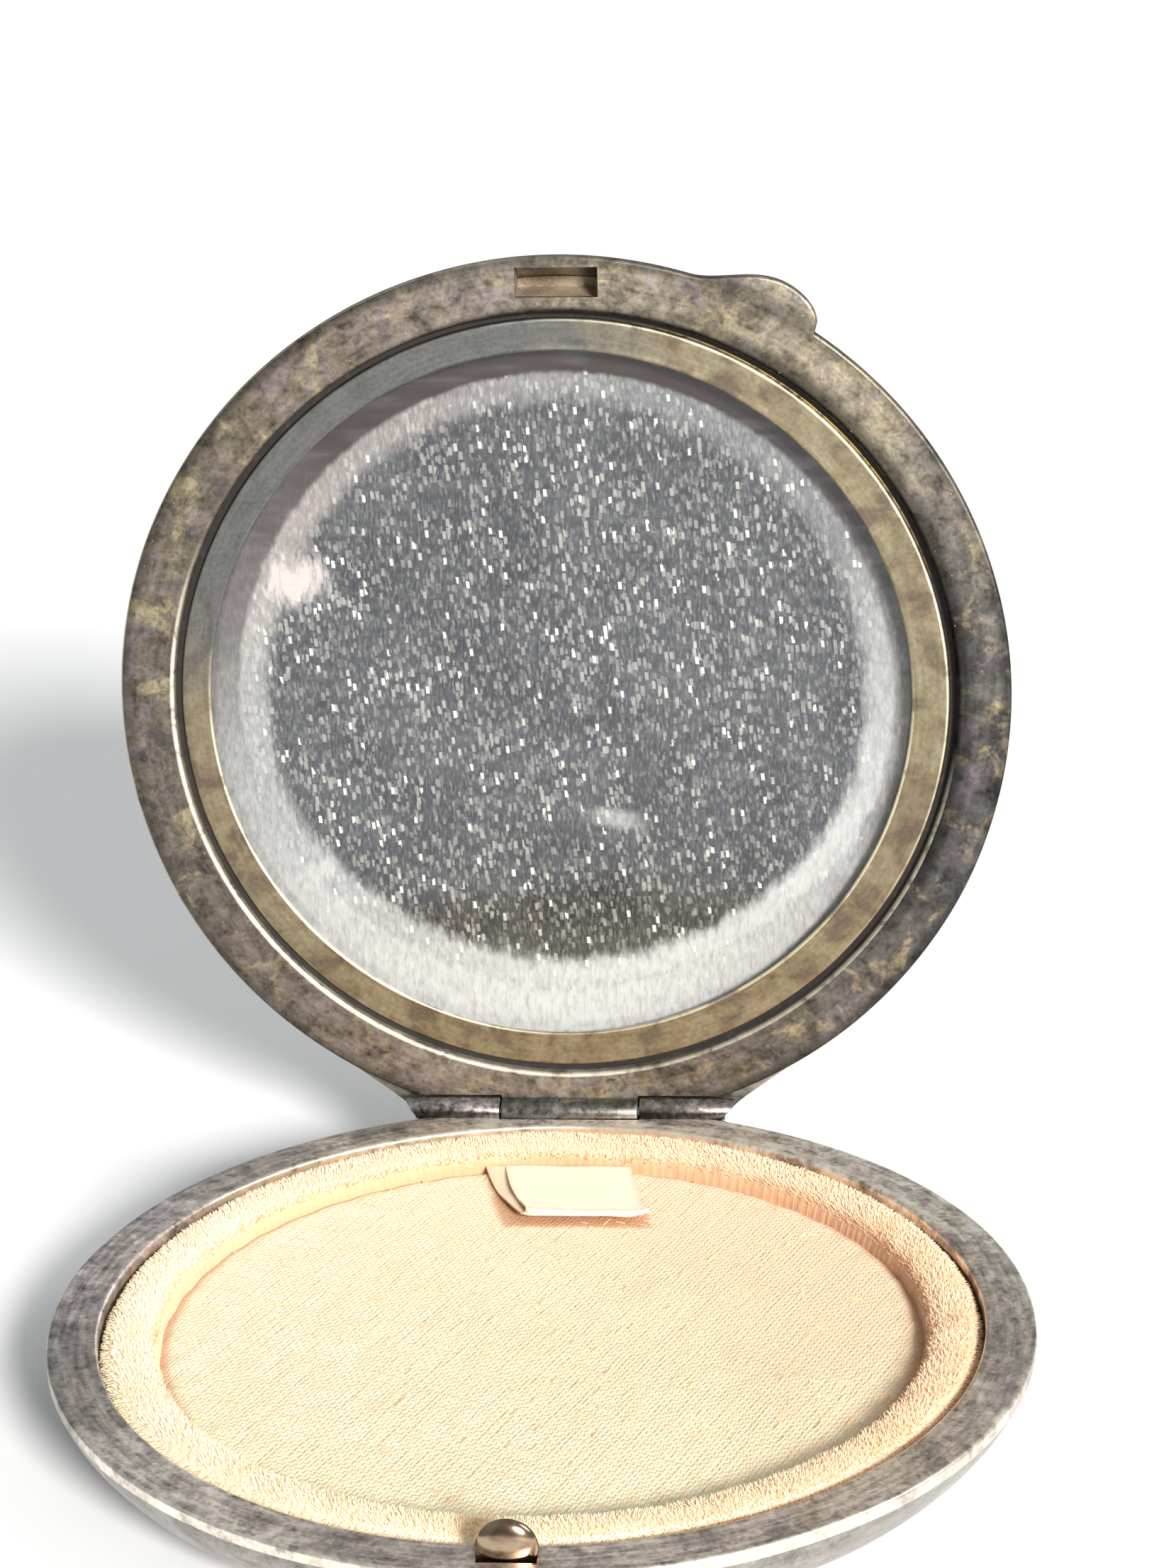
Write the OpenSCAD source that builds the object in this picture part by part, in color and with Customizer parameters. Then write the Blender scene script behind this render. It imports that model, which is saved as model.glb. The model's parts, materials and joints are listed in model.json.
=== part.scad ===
// Round silver powder compact, standing open.
// The base stands on its flat foot at z = 0, with its centre on the Z axis.
// The hinge is at the back (+Y), the catch is at the front (-Y).
// The lid is drawn closed, and in_lid() swings it open about the hinge line.

/* [Case] */
// Outside diameter of the case
case_d = 60; // [58:0.5:62]
// Height of the base, from its foot to the seam
base_h = 6.5; // [6.4:0.1:7]
// Height of the lid, from the seam to the edge of its crown
lid_h = 6.5; // [6.4:0.1:7]
// Rise of the lid's crown above its edge
crown_rise = 0.5; // [0.3:0.1:0.8]
// Radius of the flat that the base stands on, and of the lid's crown
foot_r = 21.5; // [20.5:0.5:22]
// Wall of the spun base pan
base_wall = 0.6; // [0.5:0.05:0.7]
// Wall of the spun lid
lid_wall = 0.45; // [0.35:0.05:0.55]
// Angle that the lid stands open at
open_angle = 92.8; // [0:0.1:92.8]

/* [Rims] */
// Thickness of each flat seating rim
rim_t = 0.8; // [0.7:0.05:0.9]
// Width of the base's seating rim
base_rim_w = 3.05; // [2.9:0.05:3.2]
// Width of the lid's seating rim
lid_rim_w = 3.65; // [3.5:0.05:3.8]
// Rounding of the rims' edges
rim_edge = 0.25; // [0.1:0.05:0.3]
// Gap between the two rims when the lid is closed
seam_gap = 0.1; // [0.05:0.01:0.2]

/* [Hinge] */
// Distance of the hinge line behind the centre of the case
hinge_y = 29.2; // [29.1:0.05:29.3]
// Outside radius of the hinge knuckles
knuckle_r = 1.05; // [1:0.05:1.1]
// Radius of the hinge pin
pin_r = 0.5; // [0.4:0.05:0.6]
// Running clearance of the pin in the lid's knuckle
pin_fit = 0.05; // [0.02:0.01:0.1]
// Length of the lid's middle knuckle
middle_knuckle_l = 9.5; // [9:0.5:10]
// Gap between neighbouring knuckles
knuckle_gap = 0.1; // [0.05:0.01:0.15]
// Clearance around a knuckle that turns in the other half
swing_gap = 0.15; // [0.1:0.01:0.2]
// Distance of each hinge bearer from the seam
bearer_drop = 0.9; // [0.9:0.05:1.1]
// Depth of each hinge bearer
bearer_depth = 2.7; // [2.4:0.1:3]

/* [Catch] */
// Width of the catch bead
bead_w = 4.5; // [4:0.1:4.8]
// Thickness of the catch bead
bead_t = 1.2; // [1:0.05:1.3]
// Distance of the bead in front of the centre of the case
bead_y = 28; // [27.9:0.05:28.1]
// Gap between the foot of the bead and the rim
bead_lift = 0.12; // [0.08:0.01:0.2]
// Width of the slot in the lid that takes the bead
slot_w = 5.4; // [5.2:0.1:5.6]
// Radial size of the slot in the lid
slot_l = 1.95; // [1.85:0.05:2]
// Distance of the slot's inner wall from the centre of the case
slot_in = 27.3; // [27.25:0.05:27.3]
// Depth of the pocket behind the slot, from the seam
pocket_h = 2.65; // [2.6:0.05:2.8]
// Outward travel of the bead on its spring
bead_travel = 0.25; // [0.1:0.05:0.25]

/* [Thumb piece] */
// Angle from the catch to the peak of the thumb piece
thumb_peak = 28; // [26:1:32]
// Angle of the thumb piece's long rise
thumb_rise = 11.5; // [10:0.5:13]
// Angle of the thumb piece's blunt end
thumb_fall = 6; // [4:0.5:7]
// How far the thumb piece stands out from the lid
thumb_out = 1.8; // [1.4:0.1:2]
// Thickness of the thumb piece
thumb_t = 0.85; // [0.7:0.05:0.9]

/* [Mirror] */
// Outside radius of the mirror's gilt frame
frame_r = 25.9; // [25.8:0.05:25.9]
// Radius of the frame's opening
view_r = 23.65; // [23.3:0.05:23.8]
// Sideways offset of the frame's opening
view_shift_x = -0.28; // [-0.4:0.02:0]
// Offset of the frame's opening towards the catch
view_shift_y = -0.1; // [-0.2:0.02:0]
// Depth of the frame's face behind the seam
frame_drop = 0.5; // [0.45:0.05:0.55]
// Thickness of the frame's metal
frame_t = 0.3; // [0.2:0.05:0.35]
// Thickness of the mirror glass
glass_t = 1.05; // [0.9:0.05:1.1]

/* [Powder and puff] */
// Thickness of the gilt powder well's metal
well_wall = 0.25; // [0.2:0.05:0.3]
// Height of the powder's face above the foot
powder_h = 2.6; // [2.2:0.1:2.6]
// Outside radius of the puff
puff_r = 26.74; // [26.5:0.02:26.78]
// Radius of the puff's woven disc
disc_r = 23.2; // [22.8:0.1:23.2]
// Height of the top of the puff's pile border
pile_h = 6.32; // [6.2:0.02:6.34]
// Width of the ribbon tab
ribbon_w = 8; // [6:0.5:9]
// Length of the ribbon tab
ribbon_l = 8.2; // [6:0.1:9]

/* [Hidden] */
$fn = 180;
case_r = case_d / 2;
base_side = base_h - rim_t;
lid_side = lid_h - rim_t;
// Radius of an arc that leaves a flat at foot_r and reaches the case's radius
function edge_arc(side) = (pow(case_r - foot_r, 2) + side * side) / (2 * side);
base_arc = edge_arc(base_side);
lid_arc = edge_arc(lid_side);
crown_arc = (foot_r * foot_r + crown_rise * crown_rise) / (2 * crown_rise);
base_top = base_h - seam_gap / 2;
cut = 1;

middle_half = middle_knuckle_l / 2;
// Corner of the hinge outline in front, and the mitre from it to the back
hinge_corner = [12.2, 28.3];
hinge_back = [9.66, 31];
corner_turn = atan2(hinge_corner[0], hinge_corner[1]) + acos(case_r / norm(hinge_corner));
shoulder = [case_r * sin(corner_turn), case_r * cos(corner_turn)];
pin_half = 10.8;
bearer_back = 30;
bearer_heel = 0.7;
bearer_toe = 27;

bead_r = bead_w / 2;
bead_z = base_top + bead_lift;
// Radius of the two faces of the lens that the bead is half of
bead_arc = (pow(bead_t / 2, 2) + bead_r * bead_r) / bead_t;
tang_w = 3;
tang_in = 27.5;
tang_out = 28.4;
spring_r = 28;
spring_t = 0.25;
spring_low = 4.5;
spring_w = 1;
spring_half = 8.2;
tang_low = spring_low + 0.1;
tang_fit = 0.15;
peg_x = 7;
peg_ring_r = 27.7;
peg_r = 0.22;
peg_head_r = 0.45;
peg_head_t = 0.27;
peg_low = 4.15;
pocket_wall = 0.3;
ramp_h = 1.3;
ramp_l = 0.4;

thumb_low = 0.12;
thumb_edge = 0.15;
thumb_steps = 24;
// Radius of the thumb piece's outline at an angle measured from its peak
function thumb_r(a, inset) = case_r + (thumb_out - inset) * (
    a < 0 ? pow(sin(90 * (1 + a / thumb_rise)), 2) : sqrt(1 - pow(a / thumb_fall, 2)));
function thumb_point(a, r) = [r * sin(thumb_peak + a), -r * cos(thumb_peak + a)];

seat_in = 25.95;
seat_out = 26.3;
seat_flange = 26.9;
seat_flange_t = 0.3;
seat_h = 1.5;
skirt_t = 0.3;
skirt_h = 1.7;
glass_r = 25.4;
glass_low = frame_drop + frame_t + 0.02;
silvering_t = 0.06;
card_r = 25.3;
card_t = 0.5;

well_gap = 1;
well_r = case_r - base_rim_w;
flange_w = 0.45;
layer_gap = 0.02;
pile_low = powder_h + 0.12;
pile_gap = 0.2;
pile_floor = 3.66;
pile_round = 1.72;
disc_t = 0.22;
disc_low = 4.9;
ribbon_t = 0.85;
ribbon_back = 22.3;
ribbon_slant = 2;

// ---- Placing ----

// Swings what is drawn closed to the lid's open position
module in_lid() {
    translate([0, hinge_y, base_h])
        rotate([-open_angle, 0, 0])
            translate([0, -hinge_y, -base_h])
                children();
}

// Turns a dish that is drawn standing on its floor into the closed lid
module as_lid_dish() {
    translate([0, 0, base_h + lid_h])
        mirror([0, 0, 1])
            children();
}

// Puts what is drawn from the seam upwards on the closed lid
module above_seam() {
    translate([0, 0, base_h])
        children();
}

// Turns what is drawn from the seam upwards over, into the base
module below_seam() {
    translate([0, 0, base_h])
        mirror([0, 0, 1])
            children();
}

// ---- Shared shapes ----

// Half section of a filled dish: a flat floor, then an arc up to the side
module dish_section(arc, inset, max_r, top) {
    intersection() {
        translate([0, inset])
            square([max_r, top - inset]);
        union() {
            square([foot_r, top]);
            translate([foot_r, arc])
                circle(arc - inset);
        }
    }
}

// Half section of a flat ring whose lower edges are rounded
module ring_section(r_in, r_out, low, high, edge) {
    translate([r_in, low + edge])
        square([r_out - r_in, high - low - edge]);
    translate([r_in + edge, low])
        square([r_out - r_in - 2 * edge, high - low]);
    for (r = [r_in + edge, r_out - edge])
        translate([r, low + edge])
            circle(edge);
}

// A tube that stands on the plane z = low
module tube(r_in, r_out, low, high) {
    translate([0, 0, low])
        difference() {
            cylinder(r = r_out, h = high - low);
            translate([0, 0, -cut])
                cylinder(r = r_in, h = high - low + 2 * cut);
        }
}

// A bar along the hinge line
module hinge_bar(x_from, x_to, radius) {
    translate([x_from, hinge_y, base_h])
        rotate([0, 90, 0])
            cylinder(r = radius, h = x_to - x_from);
}

// The same bar on the left and on the right
module hinge_bars(x_from, x_to, radius) {
    hinge_bar(x_from, x_to, radius);
    hinge_bar(-x_to, -x_from, radius);
}

// Room that the base leaves for its own knuckles and for the lid's
module base_hinge_room() {
    hinge_bar(-middle_half - knuckle_gap, middle_half + knuckle_gap, knuckle_r + swing_gap);
    hinge_bars(middle_half + knuckle_gap, hinge_corner[0] + cut, knuckle_r);
}

// Room that the closed lid leaves for its own knuckle and for the base's
module lid_hinge_room() {
    hinge_bar(-middle_half, middle_half, knuckle_r);
    hinge_bars(middle_half, hinge_corner[0] + cut, knuckle_r + swing_gap);
}

// The strip of each rim that lies behind the hinge line, where the knuckles are
module behind_hinge() {
    translate([-hinge_corner[0], hinge_y, base_side])
        cube([2 * hinge_corner[0], case_r - hinge_y + cut, 2 * rim_t]);
}

// Outline of the hinge from above: two straight shoulders and mitred ends
module hinge_outline() {
    polygon([[-hinge_back[0], hinge_back[1]], hinge_back, hinge_corner, shoulder,
             [-shoulder[0], shoulder[1]], [-hinge_corner[0], hinge_corner[1]]]);
}

// The strip that backs the knuckles, drawn from the seam upwards
module bearer_strip() {
    heel_top = bearer_drop + bearer_heel;
    toe_top = bearer_drop + bearer_depth;
    intersection() {
        translate([0, 0, bearer_drop])
            linear_extrude(bearer_depth)
                hinge_outline();
        rotate([90, 0, 90])
            translate([0, 0, -case_r])
                linear_extrude(case_d)
                    polygon([[0, bearer_drop - cut], [bearer_back, bearer_drop - cut],
                             [bearer_back, heel_top], [bearer_toe, toe_top], [0, toe_top]]);
    }
}

// One drilled knuckle of the base, mitred at its outer end
module base_knuckle(x_from, x_to) {
    difference() {
        intersection() {
            hinge_bar(x_from, x_to, knuckle_r);
            linear_extrude(2 * base_h)
                hinge_outline();
        }
        hinge_bar(x_from - cut, x_to + cut, pin_r);
    }
}

// ---- Base ----

module base_pan() {
    color("#8f8a86")
        difference() {
            rotate_extrude()
                difference() {
                    dish_section(base_arc, 0, case_r, base_side);
                    dish_section(base_arc, base_wall, case_r, base_side + cut);
                }
            base_hinge_room();
        }
}

module base_rim() {
    color("#8a807c")
        difference() {
            below_seam()
                rotate_extrude()
                    ring_section(well_r, case_r, seam_gap / 2, rim_t, rim_edge);
            base_hinge_room();
            behind_hinge();
            translate([-tang_w / 2 - tang_fit, -tang_out - bead_travel - tang_fit, base_side - cut])
                cube([tang_w + 2 * tang_fit, tang_out - tang_in + bead_travel + 1.7 * tang_fit,
                      rim_t + 2 * cut]);
        }
}

module base_bearer() {
    color("#7f7874")
        difference() {
            below_seam()
                bearer_strip();
            rotate_extrude()
                dish_section(base_arc, 0, case_r, base_side);
            base_hinge_room();
        }
}

module base_knuckle_left() {
    color("#9a928d")
        base_knuckle(-hinge_corner[0] - cut, -middle_half - knuckle_gap);
}

module base_knuckle_right() {
    color("#9a928d")
        base_knuckle(middle_half + knuckle_gap, hinge_corner[0] + cut);
}

module hinge_pin() {
    color("#c4bcae")
        hinge_bar(-pin_half, pin_half, pin_r);
}

// ---- Powder ----

module powder_well() {
    color("#b89a5a")
        rotate_extrude() {
            difference() {
                dish_section(base_arc, well_gap, well_r + well_wall, base_side);
                dish_section(base_arc, well_gap + well_wall, well_r, base_side + cut);
            }
            translate([well_r, base_side - well_wall])
                square([flange_w, well_wall]);
        }
}

module powder_cake() {
    color("#e2b596")
        rotate_extrude()
            dish_section(base_arc, well_gap + well_wall + layer_gap, puff_r, powder_h);
}

// ---- Puff ----

// The velour cup: a pile floor and a rounded pile border
module puff_velour() {
    border_r = puff_r - pile_round;
    color("#f3c79f")
        rotate_extrude()
            difference() {
                union() {
                    intersection() {
                        dish_section(base_arc, well_gap + well_wall + pile_gap, puff_r,
                                     pile_h - pile_round);
                        translate([0, pile_low])
                            square([puff_r, pile_h]);
                    }
                    translate([border_r, pile_h - pile_round])
                        circle(pile_round);
                }
                translate([-cut, pile_floor])
                    square([border_r - pile_round + cut, pile_h]);
            }
}

module puff_wadding() {
    color("#f5ece0")
        translate([0, 0, pile_floor + layer_gap])
            cylinder(r = disc_r, h = disc_low - pile_floor - 2 * layer_gap);
}

module puff_disc() {
    color("#fbe6c4")
        translate([0, 0, disc_low])
            cylinder(r = disc_r, h = disc_t);
}

// The doubled ribbon tab, lying forward from the back of the disc
module puff_ribbon() {
    ribbon_front = ribbon_back - ribbon_l;
    color("#f7cfa8")
        translate([0, 0, disc_low + disc_t + layer_gap])
            linear_extrude(ribbon_t)
                polygon([[-ribbon_w / 2, ribbon_back], [ribbon_w / 2, ribbon_back],
                         [ribbon_w / 2 + ribbon_slant, ribbon_front],
                         [ribbon_slant - ribbon_w / 2, ribbon_front]]);
}

// ---- Catch ----

// The upright half bead, and the tang that goes down through the rim
module catch_bead() {
    color("#d9c49a")
        difference() {
            union() {
                intersection() {
                    translate([0, -bead_y, bead_z])
                        rotate([90, 0, 0])
                            rotate_extrude()
                                intersection() {
                                    translate([0, bead_t / 2 - bead_arc])
                                        circle(bead_arc);
                                    translate([0, bead_arc - bead_t / 2])
                                        circle(bead_arc);
                                    translate([0, -bead_t])
                                        square([bead_w, 2 * bead_t]);
                                }
                    translate([-bead_w, -case_r, bead_z])
                        cube([2 * bead_w, case_r, bead_w]);
                }
                translate([-tang_w / 2, -tang_out, tang_low])
                    cube([tang_w, tang_out - tang_in, bead_z + rim_edge - tang_low]);
            }
            translate([0, 0, spring_low - cut])
                cylinder(r = spring_r + spring_t, h = spring_w + cut);
        }
}

// The flat spring strip that carries the bead
module catch_spring() {
    color("#b9b2a6")
        intersection() {
            tube(spring_r, spring_r + spring_t, spring_low, spring_low + spring_w);
            translate([-spring_half, -case_r, spring_low])
                cube([2 * spring_half, case_r - foot_r, spring_w]);
        }
}

// The two headed pegs under the rim that the spring rests on
module catch_pegs() {
    color("#a59d93")
        for (side = [-1, 1])
            translate([side * peg_x, -sqrt(pow(peg_ring_r, 2) - peg_x * peg_x), peg_low]) {
                cylinder(r = peg_r, h = base_side - peg_low);
                cylinder(r = peg_head_r, h = peg_head_t);
            }
}

// ---- Lid, drawn closed ----

// Half section of the crown's shallow dome, in the lid's upturned dish
module crown_section(inset) {
    intersection() {
        translate([0, crown_arc - crown_rise + inset])
            circle(crown_arc, $fn = 1440);
        translate([0, -crown_rise])
            square([foot_r, crown_rise + inset + base_wall]);
    }
}

module lid_shell() {
    color("#8f8a86")
        in_lid()
            difference() {
                as_lid_dish()
                    rotate_extrude()
                        difference() {
                            union() {
                                dish_section(lid_arc, 0, case_r, lid_side);
                                crown_section(0);
                            }
                            dish_section(lid_arc, lid_wall, case_r, lid_side + cut);
                            crown_section(lid_wall);
                        }
                lid_hinge_room();
            }
}

module lid_rim() {
    color("#8b7d6b")
        in_lid()
            difference() {
                above_seam()
                    rotate_extrude()
                        ring_section(case_r - lid_rim_w, case_r, seam_gap / 2, rim_t, rim_edge);
                lid_hinge_room();
                behind_hinge();
                translate([-slot_w / 2, -slot_in - slot_l, base_h - cut])
                    cube([slot_w, slot_l, rim_t + 2 * cut]);
            }
}

module lid_bearer() {
    color("#7f7874")
        in_lid()
            difference() {
                above_seam()
                    bearer_strip();
                as_lid_dish()
                    rotate_extrude()
                        dish_section(lid_arc, 0, case_r, lid_side);
                lid_hinge_room();
            }
}

module lid_knuckle() {
    color("#9a928d")
        in_lid()
            difference() {
                hinge_bar(-middle_half, middle_half, knuckle_r);
                hinge_bar(-middle_half - cut, middle_half + cut, pin_r + pin_fit);
            }
}

// One layer of the thumb piece, from its peak out to both ends
module thumb_layer(low, high, inset) {
    rise = [for (i = [0:thumb_steps]) thumb_point(-thumb_rise * (1 - i / thumb_steps),
                                                  thumb_r(-thumb_rise * (1 - i / thumb_steps), inset))];
    fall = [for (i = [1:thumb_steps]) thumb_point(thumb_fall * sin(90 * i / thumb_steps),
                                                  thumb_r(thumb_fall * sin(90 * i / thumb_steps), inset))];
    translate([0, 0, low])
        linear_extrude(high - low)
            polygon(concat(rise, fall, [thumb_point(thumb_fall, case_r - 1),
                                        thumb_point(-thumb_rise, case_r - 1)]));
}

module thumb_piece() {
    thumb_top = thumb_low + thumb_t;
    color("#7d756e")
        in_lid()
            above_seam()
                difference() {
                    union() {
                        thumb_layer(thumb_low, thumb_top, thumb_edge);
                        thumb_layer(thumb_low + thumb_edge, thumb_top - thumb_edge, 0);
                    }
                    translate([0, 0, -cut])
                        cylinder(r = case_r, h = 2 * lid_h, $fn = 360);
                }
}

// The pocket behind the slot, open towards the seam, with a ramp inside
module catch_pocket() {
    pocket_out = slot_w / 2 + pocket_wall;
    color("#6f655a")
        in_lid()
            intersection() {
                above_seam() {
                    difference() {
                        translate([-pocket_out, -case_r, rim_t])
                            cube([2 * pocket_out, case_r - slot_in + pocket_wall,
                                  pocket_h + pocket_wall - rim_t]);
                        translate([-slot_w / 2, -case_r - cut, 0])
                            cube([slot_w, case_r - slot_in + cut, pocket_h]);
                    }
                    translate([-slot_w / 2, 0, 0])
                        rotate([90, 0, 90])
                            linear_extrude(slot_w)
                                polygon([[-slot_in, ramp_h], [-slot_in, pocket_h],
                                         [-slot_in - ramp_l, pocket_h]]);
                }
                as_lid_dish()
                    rotate_extrude()
                        dish_section(lid_arc, lid_wall, case_r, lid_side);
            }
}

// ---- Mirror, drawn in the closed lid ----

module mirror_seat() {
    color("#8a7a52")
        in_lid()
            above_seam()
                rotate_extrude() {
                    translate([seat_in, rim_t])
                        square([seat_out - seat_in, seat_h]);
                    translate([seat_in, rim_t])
                        square([seat_flange - seat_in, seat_flange_t]);
                }
}

module mirror_frame() {
    color("#a48a50")
        in_lid()
            above_seam()
                difference() {
                    rotate_extrude() {
                        ring_section(view_r - 2, frame_r, frame_drop, frame_drop + frame_t,
                                     frame_t / 2);
                        translate([frame_r - skirt_t, frame_drop + frame_t / 2])
                            square([skirt_t, skirt_h]);
                    }
                    translate([view_shift_x, view_shift_y, 0])
                        cylinder(r = view_r, h = lid_h);
                }
}

module mirror_glass() {
    color("#8fa0a8")
        in_lid()
            above_seam()
                translate([0, 0, glass_low])
                    cylinder(r = glass_r, h = glass_t);
}

module mirror_silvering() {
    color("#5d6a72")
        in_lid()
            above_seam()
                translate([0, 0, glass_low + glass_t])
                    cylinder(r = glass_r, h = silvering_t);
}

module mirror_card() {
    color("#6e5a46")
        in_lid()
            above_seam()
                translate([0, 0, glass_low + glass_t + silvering_t])
                    cylinder(r = card_r, h = card_t);
}

base_pan();
base_rim();
base_bearer();
base_knuckle_left();
base_knuckle_right();
hinge_pin();
powder_well();
powder_cake();
puff_velour();
puff_wadding();
puff_disc();
puff_ribbon();
catch_bead();
catch_spring();
catch_pegs();
lid_shell();
lid_rim();
lid_bearer();
lid_knuckle();
thumb_piece();
catch_pocket();
mirror_seat();
mirror_frame();
mirror_glass();
mirror_silvering();
mirror_card();
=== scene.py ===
"""The looks of a round silver powder compact that stands open, built around its fixed CAD frame.

Each sub-assembly is a class: Case, Hinge, Mirror, Catch, Puff and Powder. Each finish is a frozen
dataclass whose material() builds its nodes. Sizes are in millimetres until a mesh is made, and
every mesh is in metres in the frame's own axes. Studio makes the camera, the floor, the two lights
and the room round them.
"""

import json
import logging
import math
from dataclasses import dataclass
from enum import Enum
from typing import Sequence

import bmesh
import bpy
import numpy as np
from mathutils import Matrix, Vector, noise


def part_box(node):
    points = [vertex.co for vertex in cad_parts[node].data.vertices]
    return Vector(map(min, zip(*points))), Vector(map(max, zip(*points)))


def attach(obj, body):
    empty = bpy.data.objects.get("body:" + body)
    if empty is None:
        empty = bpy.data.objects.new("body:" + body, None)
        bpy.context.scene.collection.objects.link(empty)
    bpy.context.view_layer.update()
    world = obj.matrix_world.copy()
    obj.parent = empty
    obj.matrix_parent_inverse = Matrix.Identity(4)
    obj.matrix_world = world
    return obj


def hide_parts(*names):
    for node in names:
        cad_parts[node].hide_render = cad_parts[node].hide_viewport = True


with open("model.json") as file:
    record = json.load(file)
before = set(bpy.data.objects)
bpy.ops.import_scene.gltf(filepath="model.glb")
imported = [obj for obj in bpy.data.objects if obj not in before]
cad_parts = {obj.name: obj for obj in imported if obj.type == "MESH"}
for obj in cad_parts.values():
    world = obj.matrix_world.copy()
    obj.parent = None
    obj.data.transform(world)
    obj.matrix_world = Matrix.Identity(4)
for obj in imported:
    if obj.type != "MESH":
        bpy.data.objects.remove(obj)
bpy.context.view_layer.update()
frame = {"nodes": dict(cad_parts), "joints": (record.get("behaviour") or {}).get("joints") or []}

LOG = logging.getLogger("compact")
MM = 0.001
ON_AXIS = 1e-6
Colour = tuple[float, float, float]
Point2 = tuple[float, float]
Obj = bpy.types.Object
Material = bpy.types.Material
Socket = bpy.types.NodeSocket


# ---- Where things are ----


@dataclass(frozen=True)
class CaseFrame:
    """The hinge line and the seam between base and lid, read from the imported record.

    Every lid part is worked out as it lies in the closed case, with heights measured up from the
    seam, and lid_matrix() swings it open.
    """

    hinge_y: float
    seam: float
    open_angle: float
    radius: float

    @classmethod
    def from_record(cls) -> "CaseFrame":
        """Reads the lid's joint and the rim's box.

        Returns:
            The case's frame, in millimetres.
        """
        joint = next(j for j in frame["joints"] if j["name"] == "lid_hinge")
        return cls(
            hinge_y=joint["pos_m"][1] / MM,
            seam=joint["pos_m"][2] / MM,
            open_angle=math.radians(-joint["range_deg"][0]),
            radius=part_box("base_rim")[1].x / MM,
        )

    def lid_matrix(self) -> Matrix:
        """Works out the turn that opens the lid.

        Returns:
            The turn, for meshes in metres.
        """
        line = Vector((0, self.hinge_y, self.seam)) * MM
        turn = Matrix.Rotation(-self.open_angle, 4, "X")
        return Matrix.Translation(line) @ turn @ Matrix.Translation(-line)

    def above_seam(self) -> Matrix:
        """Returns the matrix that lifts what is drawn from the seam up and opens it with the lid."""
        return self.lid_matrix() @ Matrix.Translation((0, 0, self.seam * MM))


class Half(Enum):
    """The half of the case that a pattern or a piece belongs to."""

    BASE = "base"
    LID = "lid"


PLACE = CaseFrame.from_record()


# ---- Shader maths ----


class Value:
    """A node's output that can be used in Python expressions."""

    def __init__(self, net: "Net", socket: Socket) -> None:
        """Wraps a socket of a net."""
        self.net = net
        self.socket = socket

    def _math(self, kind: str, *others: "Value | float") -> "Value":
        """Adds a Math node on this value and the others."""
        return self.net.node("ShaderNodeMath", {"operation": kind}, [self, *others])

    def __add__(self, other: "Value | float") -> "Value":
        """self + other"""
        return self._math("ADD", other)

    def __sub__(self, other: "Value | float") -> "Value":
        """self - other"""
        return self._math("SUBTRACT", other)

    def __mul__(self, other: "Value | float") -> "Value":
        """self * other"""
        return self._math("MULTIPLY", other)

    def __truediv__(self, other: "Value | float") -> "Value":
        """self / other"""
        return self._math("DIVIDE", other)

    def __rsub__(self, other: float) -> "Value":
        """other - self"""
        return self.net.node("ShaderNodeMath", {"operation": "SUBTRACT"}, [other, self])

    __radd__ = __add__
    __rmul__ = __mul__

    def sine(self) -> "Value":
        """Returns the sine, of radians."""
        return self._math("SINE")

    def least(self, other: "Value | float") -> "Value":
        """Returns the smaller of the two."""
        return self._math("MINIMUM", other)

    def most(self, other: "Value | float") -> "Value":
        """Returns the larger of the two."""
        return self._math("MAXIMUM", other)

    def size(self) -> "Value":
        """Returns the value without its sign."""
        return self._math("ABSOLUTE")

    def step(self, low: float, high: float) -> "Value":
        """Rises smoothly from 0 at low to 1 at high, or falls where low is above high.

        Args:
            low: the value that gives 0.
            high: the value that gives 1.

        Returns:
            The eased share.
        """
        falling = low > high
        ends = (high, low) if falling else (low, high)
        share = self.net.node(
            "ShaderNodeMapRange",
            {"interpolation_type": "SMOOTHSTEP"},
            {"Value": self, "From Min": ends[0], "From Max": ends[1]},
        )
        return 1 - share if falling else share

    def bell(self, centre: float, width: float) -> "Value":
        """Returns 1 at the centre, easing to 0 at width on each side of it."""
        return (self - centre).size().step(width, 0)


Feed = Value | float | int | Sequence[float]


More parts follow.
